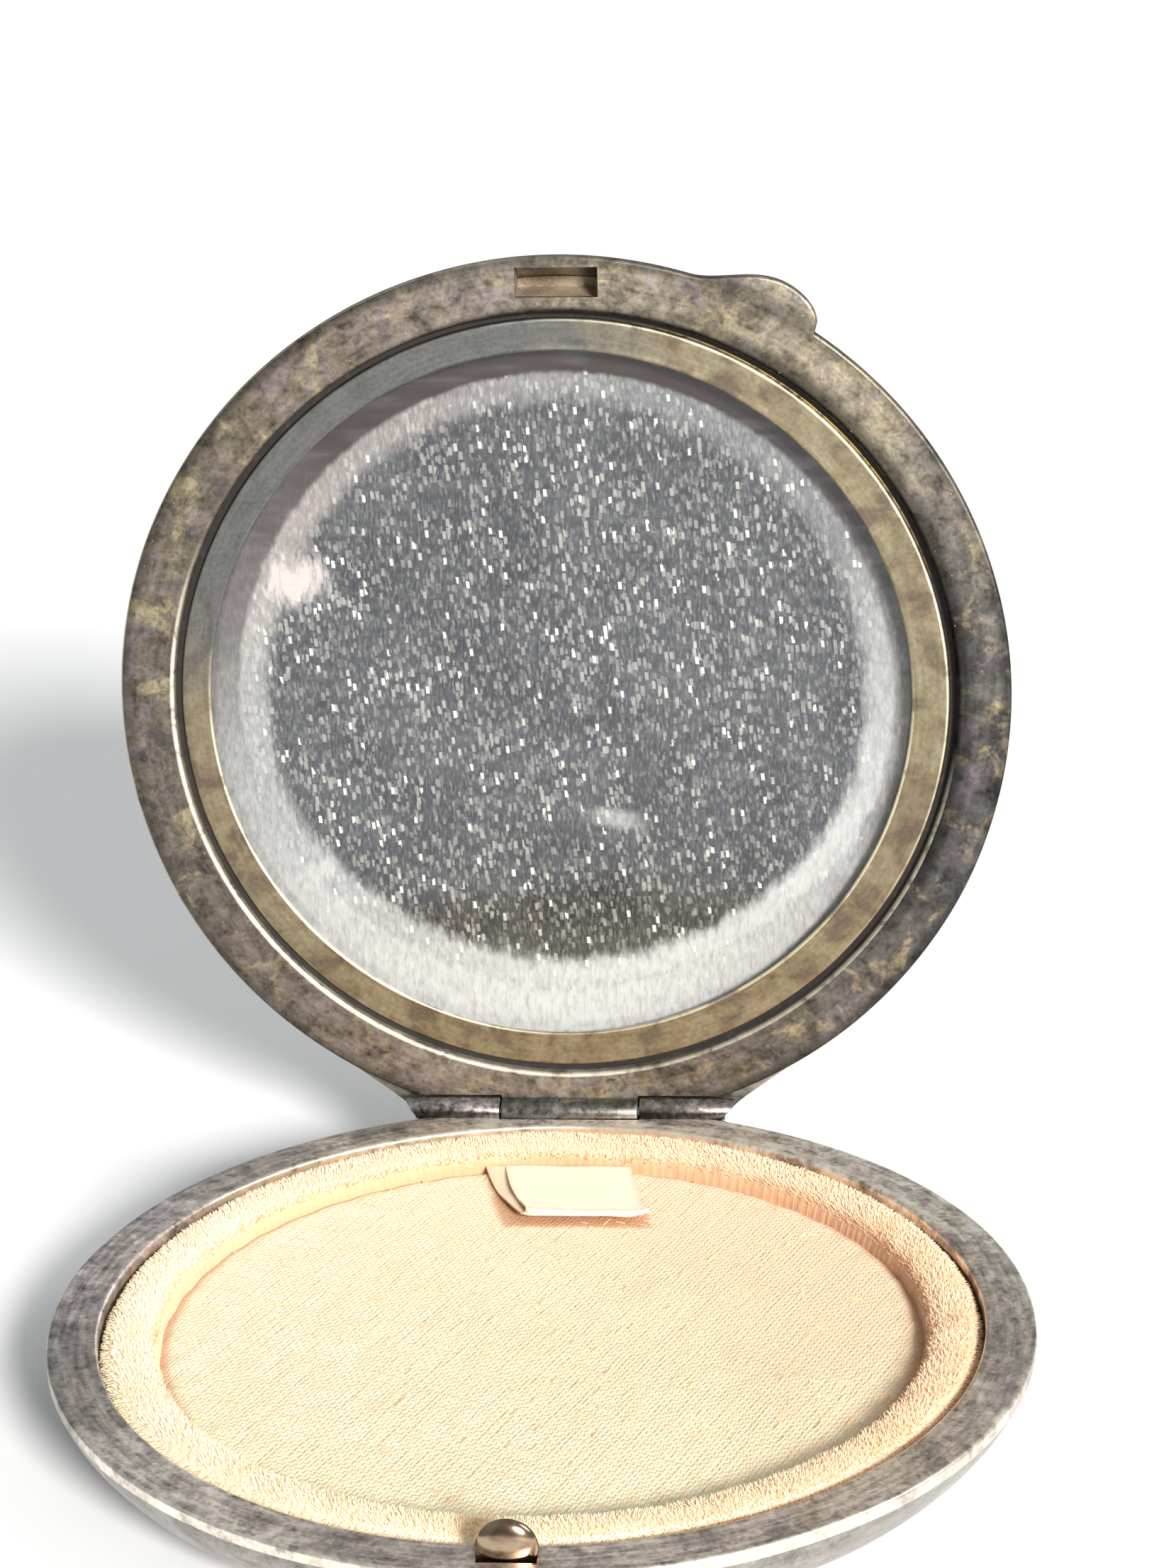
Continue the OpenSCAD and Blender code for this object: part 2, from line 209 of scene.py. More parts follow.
class Net:
    """A material's node tree, with its Principled shader already in place."""

    def __init__(self, name: str) -> None:
        """Makes the material and its shader.

        Args:
            name: the material's name.
        """
        self.material = bpy.data.materials.new(name)
        self.material.use_nodes = True
        self.tree = self.material.node_tree
        self.tree.nodes.clear()
        self.output = self.tree.nodes.new("ShaderNodeOutputMaterial")
        self.shader = self.tree.nodes.new("ShaderNodeBsdfPrincipled")
        self.tree.links.new(self.shader.outputs[0], self.output.inputs["Surface"])

    def feed(self, socket: Socket, value: Feed) -> None:
        """Links a value to a socket, or sets a plain number or colour on it.

        Args:
            socket: the socket.
            value: what it gets.
        """
        if isinstance(value, Value):
            self.tree.links.new(value.socket, socket)
        elif isinstance(value, (int, float)):
            socket.default_value = value
        else:
            wide = len(socket.default_value)
            socket.default_value = (*value, 1.0) if wide == 4 and len(value) == 3 else tuple(value)

    def node(
        self,
        kind: str,
        settings: dict[str, object] | None = None,
        inputs: Sequence[Feed] | dict[str | int, Feed] | None = None,
        output: int | str = 0,
    ) -> Value:
        """Adds any node.

        Args:
            kind: the node's type name.
            settings: its properties; "stops" gives a ramp's (place, colour) pairs.
            inputs: the values or links of its sockets, in order or by name or number.
            output: the output to return.

        Returns:
            The wanted output, wrapped.
        """
        made = self.tree.nodes.new(kind)
        for key, value in (settings or {}).items():
            if key == "stops":
                self._stops(made.color_ramp, value)
            else:
                setattr(made, key, value)
        pairs = inputs.items() if isinstance(inputs, dict) else enumerate(inputs or [])
        for key, value in pairs:
            self.feed(made.inputs[key], value)
        return Value(self, made.outputs[output])

    @staticmethod
    def _stops(ramp: bpy.types.ColorRamp, stops: Sequence[tuple[float, Colour]]) -> None:
        """Sets a ramp's stops.

        Args:
            ramp: the ramp.
            stops: its (place, colour) pairs.
        """
        while len(ramp.elements) < len(stops):
            ramp.elements.new(1.0)
        for element, (place, colour) in zip(ramp.elements, stops):
            element.position = place
            element.color = (*colour, 1.0)

    def ramp(self, share: Value, stops: Sequence[tuple[float, Colour]]) -> Value:
        """Returns a colour that changes along the stops."""
        return self.node("ShaderNodeValToRGB", {"stops": stops}, {"Fac": share})

    def mix(self, a: Feed, b: Feed, share: Feed, how: str = "MIX") -> Value:
        """Returns colour a blended into colour b by a share."""
        settings = {"data_type": "RGBA", "blend_type": how, "clamp_factor": True}
        return self.node("ShaderNodeMix", settings, {0: share, 6: a, 7: b}, 2)

    def between(self, a: Feed, b: Feed, share: Value) -> Value:
        """Returns number a blended into number b by a share."""
        return self.node("ShaderNodeMix", {"data_type": "FLOAT"}, {0: share, 2: a, 3: b}, 0)

    def vector(self, x: Feed, y: Feed, z: Feed) -> Value:
        """Returns a vector of three numbers."""
        return self.node("ShaderNodeCombineXYZ", None, [x, y, z])

    def split(self, vector: Value) -> tuple[Value, Value, Value]:
        """Takes a vector apart.

        Args:
            vector: the vector.

        Returns:
            Its three numbers.
        """
        parts = self.node("ShaderNodeSeparateXYZ", None, [vector]).socket.node.outputs
        return tuple(Value(self, part) for part in parts)

    def place(self, half: Half) -> Value:
        """Finds where a point is in the closed case.

        Args:
            half: the half that the pattern belongs to.

        Returns:
            The place in millimetres, with z up from the seam.
        """
        own = self.node("ShaderNodeTexCoord", None, None, "Object")
        angle = PLACE.open_angle if half is Half.LID else 0.0
        turn = Matrix.Rotation(angle, 3, "X")
        line = Vector((0, PLACE.hinge_y, PLACE.seam))
        shift = line - turn @ line - Vector((0, 0, PLACE.seam))
        inputs = {"Vector": own, "Location": shift, "Rotation": (angle, 0, 0), "Scale": (1 / MM,) * 3}
        return self.node("ShaderNodeMapping", None, inputs)

    def noise(self, where: Value, scale: float, detail: float = 4, rough: float = 0.55,
              swirl: float = 0.0) -> Value:
        """Adds noise.

        Args:
            where: the place.
            scale: its features are about 1 / scale millimetres across.
            detail: how many finer layers it has.
            rough: the weight of the finer layers.
            swirl: how far it is warped.

        Returns:
            The noise, from 0 to 1.
        """
        inputs = {"Vector": where, "Scale": scale, "Detail": detail, "Roughness": rough,
                  "Distortion": swirl}
        return self.node("ShaderNodeTexNoise", None, inputs)

    def cells(self, where: Value, scale: float, output: str = "Distance",
              metric: str = "EUCLIDEAN") -> Value:
        """Returns a cell pattern: the distance to each cell's point, or its random colour."""
        inputs = {"Vector": where, "Scale": scale}
        return self.node("ShaderNodeTexVoronoi", {"distance": metric}, inputs, output)

    def stretched(self, where: Value, x: float, y: float, z: float) -> Value:
        """Returns the place with each axis scaled."""
        return self.node("ShaderNodeVectorMath", {"operation": "MULTIPLY"}, [where, (x, y, z)])

    def length(self, x: Value, y: Value) -> Value:
        """Returns how far a flat place is from the origin."""
        flat = self.vector(x, y, 0)
        return self.node("ShaderNodeVectorMath", {"operation": "LENGTH"}, [flat], "Value")

    def away(self, angle: Value, middle: float) -> Value:
        """Returns how far an angle is from a middle one, in degrees, the shorter way round."""
        near = (angle - middle).size()
        return near.least(360 - near)

    def toned(self, colour: Value, tone: Value) -> Value:
        """Returns a colour made darker or lighter by a tone about 1."""
        return self.mix(colour, self.vector(tone, tone, tone), 1.0, "MULTIPLY")

    def polar(self, where: Value) -> tuple[Value, Value, Value]:
        """Works out a place's polar coordinates about the case's axis.

        Args:
            where: the place.

        Returns:
            The distance from the axis, the angle from the catch in degrees, and z. The angle is 0 at
            the catch, positive towards +X, and runs from -180 to 180.
        """
        x, y, z = self.split(where)
        r = self.length(x, y)
        turn = self.node("ShaderNodeMath", {"operation": "ARCTAN2"}, [x, y * -1])
        return r, turn * math.degrees(1), z

    def around(self, where: Value, r: Value, lengthwise: float, across: float) -> Value:
        """Returns a place that changes slowly round the axis and fast across it, for turning marks."""
        x, y, _ = self.split(where)
        return self.vector(x / r * lengthwise, y / r * lengthwise, r * across)

    def bump(self, height: Value, depth: float, after: Value | None = None) -> Value:
        """Turns a height pattern into a normal.

        Args:
            height: the pattern.
            depth: how deep it is, in millimetres.
            after: a normal to add it to.

        Returns:
            The normal.
        """
        inputs = {"Height": height, "Distance": depth * MM, "Strength": 1.0}
        if after is not None:
            inputs["Normal"] = after
        return self.node("ShaderNodeBump", None, inputs)

    def finish(self, sockets: dict[str, Feed]) -> Material:
        """Feeds the Principled shader.

        Args:
            sockets: the value of each named socket.

        Returns:
            The finished material.
        """
        for name, value in sockets.items():
            self.feed(self.shader.inputs[name], value)
        return self.material


# ---- Finishes ----


@dataclass(frozen=True)
class TarnishedSilver:
    """Old tarnished silver: colour that changes round the case, blotched, grained and bright at the edges.

    tones gives the metal's colour at angles from the catch. lines gives bright lines along circles,
    partly real wear and partly painted highlight: their radius, width, middle angle, reach and
    strength. shades gives painted shade in dark bands the same way. sink is the height below which
    the metal is darkened as painted shade. mottle and streak weigh the blotches and the marks that
    run round the case.
    """

    name: str
    half: Half
    tones: tuple[tuple[float, Colour], ...]
    dark: Colour = (0.045, 0.04, 0.042)
    olive: Colour = (0.36, 0.30, 0.18)
    violet: Colour = (0.17, 0.135, 0.16)
    bright: Colour = (0.95, 0.88, 0.72)
    dark_share: float = 0.7
    olive_share: float = 0.6
    violet_share: float = 0.45
    patch: float = 0.22
    polish: float = 0.40
    lines: tuple[tuple[float, float, float, float, float], ...] = ()
    painted_shade_bands: tuple[tuple[float, float, float, float, float], ...] = ()
    shade_below: float = 0.0
    mottle: float = 3.0
    streak: float = 1.0

    def material(self) -> Material:
        """Builds the nodes.

        Returns:
            The material.
        """
        net = Net(self.name)
        where = net.place(self.half)
        r, angle, _ = net.polar(where)
        patches = net.noise(where, self.patch, 5, 0.6, 0.5)
        blotches = net.noise(where, self.patch * 3.4, 6, 0.65, 0.3)
        grain = net.noise(where, 3.4, 4, 0.6)
        marks = net.noise(net.around(where, r, 7.0, 2.6), 1.0, 3, 0.6)
        turn = angle / 360 + 0.5 + (patches - 0.5) * 0.22
        stops = [(place / 360 + 0.5, colour) for place, colour in self.tones]
        colour = net.ramp(turn, stops)
        gold = net.noise(where, self.patch * 1.9, 6, 0.62, 0.6).step(0.53, 0.64)
        colour = net.mix(colour, self.olive, gold * self.olive_share)
        plum = net.noise(where, self.patch * 1.4, 4, 0.55, 0.9).step(0.54, 0.68)
        colour = net.mix(colour, self.violet, plum * self.violet_share)
        black = (patches * 0.45 + blotches * 0.55).step(0.54, 0.60)
        colour = net.mix(colour, self.dark, black * self.dark_share)
        tone = 1 + (blotches - 0.5) * self.mottle + (grain - 0.5) * 1.1 + (marks - 0.5) * self.streak
        # Painted shade: dark bands along circles, such as the gap next to the frame and the rounded outer
        # edge.
        for radius, width, middle, reach, strength in self.painted_shade_bands:
            near = net.away(angle, middle).step(reach, reach * 0.6) * (blotches * 0.8 + 0.6)
            tone = tone * (1 - (r - radius).size().step(width, width * 0.2) * near * strength)
        # Painted shade: below a height the metal is darkened, on the side turned away from the light.
        if self.shade_below:
            _, _, z = net.split(where)
            tone = tone * (1 - z.step(self.shade_below, self.shade_below - 0.5) * 0.88)
        colour = net.toned(colour, tone)
        pits = net.cells(where, 1.5).step(0.12, 0.05) * blotches.step(0.5, 0.6)
        colour = net.mix(colour, self.dark, pits * 0.8)
        nicks = net.cells(net.around(where, r, 22.0, 1.5), 1.0).step(0.06, 0.02)
        # Real wear from the nicks, joined by painted highlights along the rounded edges from the lines below.
        wear_and_highlight = nicks * 0.5
        for radius, width, middle, reach, strength in self.lines:
            near = net.away(angle, middle).step(reach, reach * 0.55)
            along = near * (blotches.step(0.36, 0.5) * 0.6 + 0.4)
            wear_and_highlight = wear_and_highlight.most((r - radius).size().step(width, width * 0.35) * along * strength)
        colour = net.mix(colour, self.bright, wear_and_highlight)
        height = grain * 0.5 + marks * 0.35 - pits * 0.8
        return net.finish({
            "Base Color": colour,
            "Metallic": 0.9 - plum * 0.15,
            "Roughness": self.polish + (blotches - 0.5) * 0.5 + grain * 0.08 - wear_and_highlight * 0.15,
            "Normal": net.bump(height, 0.016),
        })


@dataclass(frozen=True)
class Gilding:
    """Worn gold over silver: dull olive gold with brown stains, going to gunmetal grey in part, and painted
    highlights along its edges.
    """

    name: str
    half: Half = Half.LID
    gold: Colour = (0.216, 0.174, 0.108)
    brown: Colour = (0.155, 0.119, 0.088)
    pale: Colour = (0.262, 0.222, 0.148)
    grey: Colour = (0.105, 0.112, 0.117)
    bright: Colour = (1.0, 0.90, 0.66)
    grey_centre: float = -38.0
    grey_reach: float = 62.0
    inner_r: float = 23.65
    outer_r: float = 25.9
    polish: float = 0.36

    def material(self) -> Material:
        """Builds the nodes.

        Returns:
            The material.
        """
        net = Net(self.name)
        where = net.place(self.half)
        x, y, _ = net.split(where)
        r, angle, _ = net.polar(where)
        blotches = net.noise(where, 0.45, 5, 0.55, 0.4)
        grain = net.noise(where, 3.6, 4, 0.6)
        lines = net.noise(net.around(where, r, 10.0, 4.0), 1.0, 3, 0.6)
        stops = [(0.38, self.brown), (0.47, self.gold), (0.58, self.pale), (0.66, self.gold)]
        colour = net.ramp(blotches, stops)
        edge = net.noise(where, 0.5, 3) * 22 - 11
        greyed = (angle - self.grey_centre + edge).size().step(self.grey_reach, self.grey_reach - 30)
        colour = net.mix(colour, self.grey, greyed * 0.85)
        stain_and_shade = (angle + edge * 0.5).bell(109, 13) * grain.step(0.3, 0.6)
        colour = net.mix(colour, (0.12, 0.09, 0.065), stain_and_shade * 0.5)
        tone = 1 + (grain - 0.5) * 0.8 + (lines - 0.5) * 0.7
        colour = net.toned(colour, tone)
        # Painted highlights: bright lines along the outer edge on the right and the opening's edge lower
        # down, broken by the blotches.
        broken = blotches.step(0.36, 0.5) * 0.65 + 0.35
        outer_highlight = (r - self.outer_r + 0.08).size().step(0.17, 0.06) * angle.bell(62, 84)
        from_view = net.length(x + 0.28, y + 0.1)
        low_side = (angle.size() - 132).size().step(54, 20)
        inner_highlight = (from_view - self.inner_r - 0.07).size().step(0.15, 0.05) * low_side
        wear_and_highlight = outer_highlight.most(inner_highlight * 0.9) * broken
        colour = net.mix(colour, self.bright, wear_and_highlight)
        return net.finish({
            "Base Color": colour,
            "Metallic": 0.92,
            "Roughness": self.polish + blotches * 0.2 + greyed * 0.08 - wear_and_highlight * 0.12,
            "Normal": net.bump(grain * 0.5 + lines * 0.5, 0.010),
        })


@dataclass(frozen=True)
class ShadedSeat:
    """The seat, painted near black as the shade in the gap round the frame, with a bright gold edge on part
    of it.
    """

    name: str = "seat_gilt"
    dark: Colour = (0.010, 0.007, 0.006)
    gold: Colour = (0.75, 0.52, 0.16)

    def material(self) -> Material:
        """Builds the nodes.

        Returns:
            The material.
        """
        net = Net(self.name)
        where = net.place(Half.LID)
        r, angle, _ = net.polar(where)
        grime = net.noise(where, 1.4, 4, 0.6)
        gilt = angle.bell(42, 36) * r.step(26.06, 26.0) * grime.step(0.3, 0.5)
        # The near-black ground is painted shade for the gap between the frame and the rim.
        colour = net.mix(self.dark, self.gold, gilt)
        return net.finish({
            "Base Color": net.mix(colour, (0.06, 0.04, 0.03), grime.step(0.55, 0.75) * 0.5),
            "Metallic": 0.25 + gilt * 0.7,
            "Roughness": 0.6 - gilt * 0.35,
            "Normal": net.bump(grime, 0.02),
        })


@dataclass(frozen=True)
class PlainMetal:
    """A small polished or drawn metal part, with fine marks and a slight bloom."""

    name: str
    half: Half
    colour: Colour
    bloom: Colour
    polish: float = 0.16
    grain: float = 2.0

    def material(self) -> Material:
        """Builds the nodes.

        Returns:
            The material.
        """
        net = Net(self.name)
        where = net.place(self.half)
        cloud = net.noise(where, self.grain * 0.35, 4, 0.6, 0.4)
        fine = net.noise(where, self.grain * 2.2, 3, 0.6)
        colour = net.mix(self.colour, self.bloom, cloud.step(0.42, 0.66) * 0.8)
        return net.finish({
            "Base Color": colour,
            "Metallic": 1.0,
            "Roughness": self.polish + cloud * 0.12 + fine * 0.05,
            "Normal": net.bump(fine, 0.004),
        })


@dataclass(frozen=True)
class AgedSilvering:
    """A mirror's old silver coat, full of short upright flecks, clouded round its edge. Its dark grey
    is partly the old coat and partly a painted reflection of a dark room.

    edge and band give the cloudiness next to the frame and a little way in, and stain gives a
    painted dark band next to the frame, the frame's shade and its reflection, at angles from the
    catch.
    """

    name: str = "aged_silvering"
    dark: Colour = (0.042, 0.045, 0.054)
    mid: Colour = (0.105, 0.11, 0.118)
    fleck: Colour = (0.84, 0.82, 0.74)
    cloud: Colour = (0.45, 0.45, 0.44)
    fleck_w: float = 0.33
    fleck_l: float = 0.70
    fall: float = -0.10
    rounds: tuple[tuple[float, Colour], ...] = (
        (-180, (0.90, 0.85, 0.0)), (-140, (0.80, 0.62, 0.0)), (-105, (0.60, 0.55, 0.05)),
        (-72, (0.40, 0.55, 0.4)), (-40, (0.16, 0.40, 0.80)), (-10, (0.06, 0.36, 1.0)),
        (25, (0.06, 0.28, 0.95)), (52, (0.12, 0.26, 0.75)), (75, (0.24, 0.50, 0.45)),
        (110, (0.42, 0.82, 0.1)), (140, (0.75, 0.85, 0.0)), (180, (0.90, 0.85, 0.0)))

    def _flecks(self, net: Net, where: Value, grow: float, slide: float,
                few: tuple[float, float]) -> Value:
        """Draws one layer of flecks, each cell with its own strength.

        Args:
            net: the material's nodes.
            where: the place.
            grow: how much larger than life its flecks are.
            slide: how far the layer is shifted.
            few: the share of cells left empty, and where the rest are at full strength.

        Returns:
            How bright the layer is at each point.
        """
        x, y, _ = net.split(where)
        along = net.vector((x + y * self.fall) / (self.fleck_w * grow) + slide,
                           y / (self.fleck_l * grow) + slide, 0)
        distance = net.cells(along, 1.0, "Distance", "CHEBYCHEV")
        own, _, _ = net.split(net.cells(along, 1.0, "Color", "CHEBYCHEV"))
        return distance.step(0.42, 0.26) * own.step(*few)

    def material(self) -> Material:
        """Builds the nodes.

        Returns:
            The material.
        """
        net = Net(self.name)
        where = net.place(Half.LID)
        r, angle, _ = net.polar(where)
        x, y, _ = net.split(where)
        soft = net.noise(where, 0.2, 4, 0.6, 0.3)
        fibre = net.noise(net.stretched(where, 2.6, 0.8, 0), 1.0, 4, 0.65)
        nap = net.noise(net.stretched(where, 6.4, 1.6, 0), 1.0, 3, 0.6)
        # The dark grey back is partly the old coat and partly a painted reflection of a dark room.
        back = net.mix(self.dark, self.mid, (soft * 0.5 + fibre * 0.3 + nap * 0.5).step(0.5, 0.86))
        back = net.mix(back, (0.27, 0.27, 0.265), nap.step(0.50, 0.68) * 0.6)
        dense = net.noise(where, 0.26, 3).step(0.3, 0.6) * 0.55 + 0.45
        bright = self._flecks(net, where, 1.0, 0.0, (0.84, 0.97))
        dim = self._flecks(net, where, 1.12, 7.3, (0.35, 0.95)) * 0.38
        fine = self._flecks(net, where, 0.8, 3.1, (0.35, 0.95)) * 0.26
        flecks = bright.most(dim).most(fine) * dense * r.step(23.6, 21.5)
        colour = net.mix(back, self.fleck, flecks)
        streak = net.noise(net.stretched(where, 1.5, 0.4, 0), 1.0, 5, 0.7)
        turn = angle / 360 + 0.5 + (soft - 0.5) * 0.1
        stops = [(place / 360 + 0.5, rgb) for place, rgb in self.rounds]
        edge, band, stain_and_shade = net.split(net.ramp(turn, stops))
        ragged = r + (streak - 0.5) * 2.4 + y.step(6, 20) * 1.7
        near_edge = ragged.step(20.9, 22.7) * edge
        near_band = (ragged - 21.5).size().step(1.9, 0.5) * band
        left = net.length((x + 18.4) / 3.2, (y + 8.2) / 2.6)
        low_left = net.length((x + 17.2) / 2.2, (y - 12.4) / 2.0)
        puffs = (left + (streak - 0.5) * 2).step(1.1, 0.2).most(
            (low_left + (streak - 0.5) * 2).step(1.1, 0.2) * 0.8)
        smear = (y - x * 0.12 - 8.1).size().step(1.0, 0.2) * x.bell(3.4, 3.0) * 0.6
        clouds = near_edge.most(near_band).most(puffs).most(smear)
        clouds = clouds * (fibre * 1.1 + nap * 0.5 + 0.25)
        tint = net.mix(self.cloud, (0.52, 0.42, 0.38), y.step(4.0, -14.0) * x.step(4, -12) * 0.7)
        colour = net.mix(colour, tint, clouds.least(1.0))
        # Painted dark band next to the frame: its shade and its reflection in the coat, at the angles that
        # the ramp's third channel gives.
        frame_shade = ((r + (streak - 0.5) * 0.5).step(22.0, 22.45) * stain_and_shade * 1.3).least(1.0)
        colour = net.mix(colour, (0.022, 0.008, 0.009), frame_shade)
        cover = flecks.most(clouds).most(frame_shade).least(1.0)
        return net.finish({
            "Base Color": colour,
            "Metallic": 0.8 - cover * 0.75,
            "Roughness": 0.18 + cover * 0.4 + fibre * 0.12,
            "Specular IOR Level": 0.25,
            "Normal": net.bump(fibre, 0.002),
        })


@dataclass(frozen=True)
class ClearGlass:
    """Thin old mirror glass: clear, with a glint that grows edge on, and faint wipe marks."""

    name: str = "mirror_pane"
    tint: Colour = (0.96, 0.98, 0.98)

    def material(self) -> Material:
        """Builds the nodes.

        Returns:
            The material.
        """
        net = Net(self.name)
        where = net.place(Half.LID)
        wipes = net.noise(net.stretched(where, 0.25, 1.4, 0.2), 1.0, 4, 0.6)
        edge_on = net.node("ShaderNodeFresnel", None, {"IOR": 1.45})
        return net.finish({
            "Base Color": self.tint,
            "Metallic": 1.0,
            "Roughness": 0.05 + wipes * 0.06,
            "Alpha": edge_on * 0.8 + wipes.step(0.45, 0.75) * 0.03,
        })


@dataclass(frozen=True)
class VelourPile:
    """Cut velour: warm orange in its depth as painted shade, pale cream at the tips.

    tufted is for the grown pile, which carries its own tints; without it the ground is striped.
    """

    name: str
    root: Colour = (0.84, 0.52, 0.32)
    body: Colour = (0.89, 0.66, 0.45)
    tip: Colour = (0.92, 0.74, 0.53)
    pale: Colour = (0.94, 0.82, 0.58)
    crease: Colour = (0.60, 0.30, 0.15)
    tufted: bool = True

    def material(self) -> Material:
        """Builds the nodes.

        Returns:
            The material.
        """
        net = Net(self.name)
        where = net.place(Half.BASE)
        r, angle, _ = net.polar(where)
        x, y, _ = net.split(where)
        combed = net.noise(net.around(where, r, 60.0, 0.8), 1.0, 3, 0.6)
        soft = net.noise(where, 0.2, 3)
        if self.tufted:
            along = net.node("ShaderNodeAttribute", {"attribute_name": "along"}, None, "Fac")
            tint = net.node("ShaderNodeAttribute", {"attribute_name": "tint"}, None, "Fac")
        else:
            along = combed * 0.5
            tint = net.noise(where, 1.5, 3)
        # Painted shade: each tuft runs from darker warm orange at the root, in the pile's depth, to pale
        # cream at the tip.
        colour = net.mix(self.root, self.body, along.step(0.0, 0.55))
        colour = net.mix(colour, self.tip, along.step(0.35, 1.0))
        ribs = ((angle * (math.radians(1) * 230)) + combed * 9).sine() * 0.5 + 0.5
        if not self.tufted:
            colour = net.mix(colour, self.tip, ribs * 0.5)
        faded = (soft * 0.5 + tint * 0.35 + (x * -0.012) + (y * -0.012) + 0.08).step(0.35, 0.8)
        colour = net.mix(colour, self.pale, faded * 0.65)
        # Painted shade: the crease where the pile meets the disc is darkened, more towards the back.
        sewn = r.step(23.95, 23.4) * (0.35 + angle.size() / 360)
        colour = net.mix(colour, self.crease, sewn)
        return net.finish({
            "Base Color": colour,
            "Normal": net.bump(ribs * 0.6 + combed * 0.6, 0.05),
            "Roughness": 0.85,
            "Sheen Weight": 0.35,
            "Sheen Roughness": 0.4,
            "Sheen Tint": (1.0, 0.9, 0.78),
        })


@dataclass(frozen=True)
class WovenCloth:
    """Plain woven silk or cotton: crossed threads with slubs, warm in the shade of the weave.

    crease_r is where the cloth is sewn in, towards which it is darkened as painted shade in the
    crease, and tab is the ribbon's middle, front and back, under and just in front of which the
    cloth carries the ribbon's painted shadow.
    """

    name: str
    thread: float = 0.30
    turn: float = 24.0
    pale: Colour = (0.84, 0.83, 0.56)
    warm: Colour = (0.79, 0.55, 0.35)
    slub: Colour = (0.66, 0.42, 0.25)
    shade: Colour = (0.55, 0.25, 0.085)
    slubs: float = 0.55
    crease_r: float = 0.0
    tab: tuple[float, ...] = ()

    def material(self) -> Material:
        """Builds the nodes.

        Returns:
            The material.
        """
        net = Net(self.name)
        where = net.place(Half.BASE)
        angle = math.radians(self.turn)
        turned = net.node("ShaderNodeMapping", None, {"Vector": where, "Rotation": (0, 0, angle)})
        wobble = net.noise(where, 0.35, 3) * 0.5
        x, y, _ = net.split(turned)
        pitch = math.tau / self.thread
        warp = ((x + wobble) * pitch).sine() * 0.5 + 0.5
        weft = ((y + wobble) * pitch).sine() * 0.5 + 0.5
        over = ((x + wobble) * (pitch / 2)).sine() * ((y + wobble) * (pitch / 2)).sine()
        weave = net.between(warp, weft, over.step(-0.25, 0.25))
        uneven_x = net.noise(net.stretched(turned, 3.0, 0.22, 0), 1.0, 3, 0.6)
        uneven_y = net.noise(net.stretched(turned, 0.22, 3.0, 0), 1.0, 3, 0.6)
        slub_x = net.noise(net.stretched(turned, 2.2, 0.5, 0), 1.0, 2, 0.5).step(0.66, 0.76)
        slub_y = net.noise(net.stretched(turned, 0.5, 2.2, 0), 1.0, 2, 0.5).step(0.68, 0.78)
        patches = net.noise(where, 0.09, 3)
        px, py, _ = net.split(where)
        warmth = (patches * 0.6 + px * 0.014 + py * 0.012 - 0.05).step(0.0, 0.62)
        colour = net.mix(self.pale, self.warm, (warmth * 0.6 + (1 - weave) * 0.5).least(1.0))
        thready = uneven_x.step(0.48, 0.62).most(uneven_y.step(0.48, 0.62))
        colour = net.mix(colour, self.warm, thready * 0.55)
        colour = net.mix(colour, self.slub, slub_x.most(slub_y) * self.slubs * 0.6)
        # Painted shadow of the ribbon tab: deep orange under and just in front of it.
        if self.tab:
            tab_x, front, back = self.tab
            sides = (px - tab_x - (back - py) * 0.23).size() + (patches - 0.5) * 2
            sides = sides.step(5.2, 4.5)
            ribbon_shadow = sides * (py + thready * 0.15).step(front - 0.75, front - 0.1) * py.step(back + 2.0, back)
            colour = net.mix(colour, self.shade, ribbon_shadow * 0.9)
        # Painted shade darkens the cloth towards its edge, in the crease under the velour.
        if self.crease_r:
            r, _, _ = net.polar(where)
            deep = r.step(self.crease_r - 0.7, self.crease_r)
            colour = net.mix(colour, (0.58, 0.29, 0.14), deep * 0.8)
        height = weave * 0.7 + thready * 0.4 + slub_x.most(slub_y) * 0.3
        return net.finish({
            "Base Color": colour,
            "Roughness": 0.8,
            "Sheen Weight": 0.2,
            "Sheen Roughness": 0.5,
            "Normal": net.bump(height, 0.05),
        })


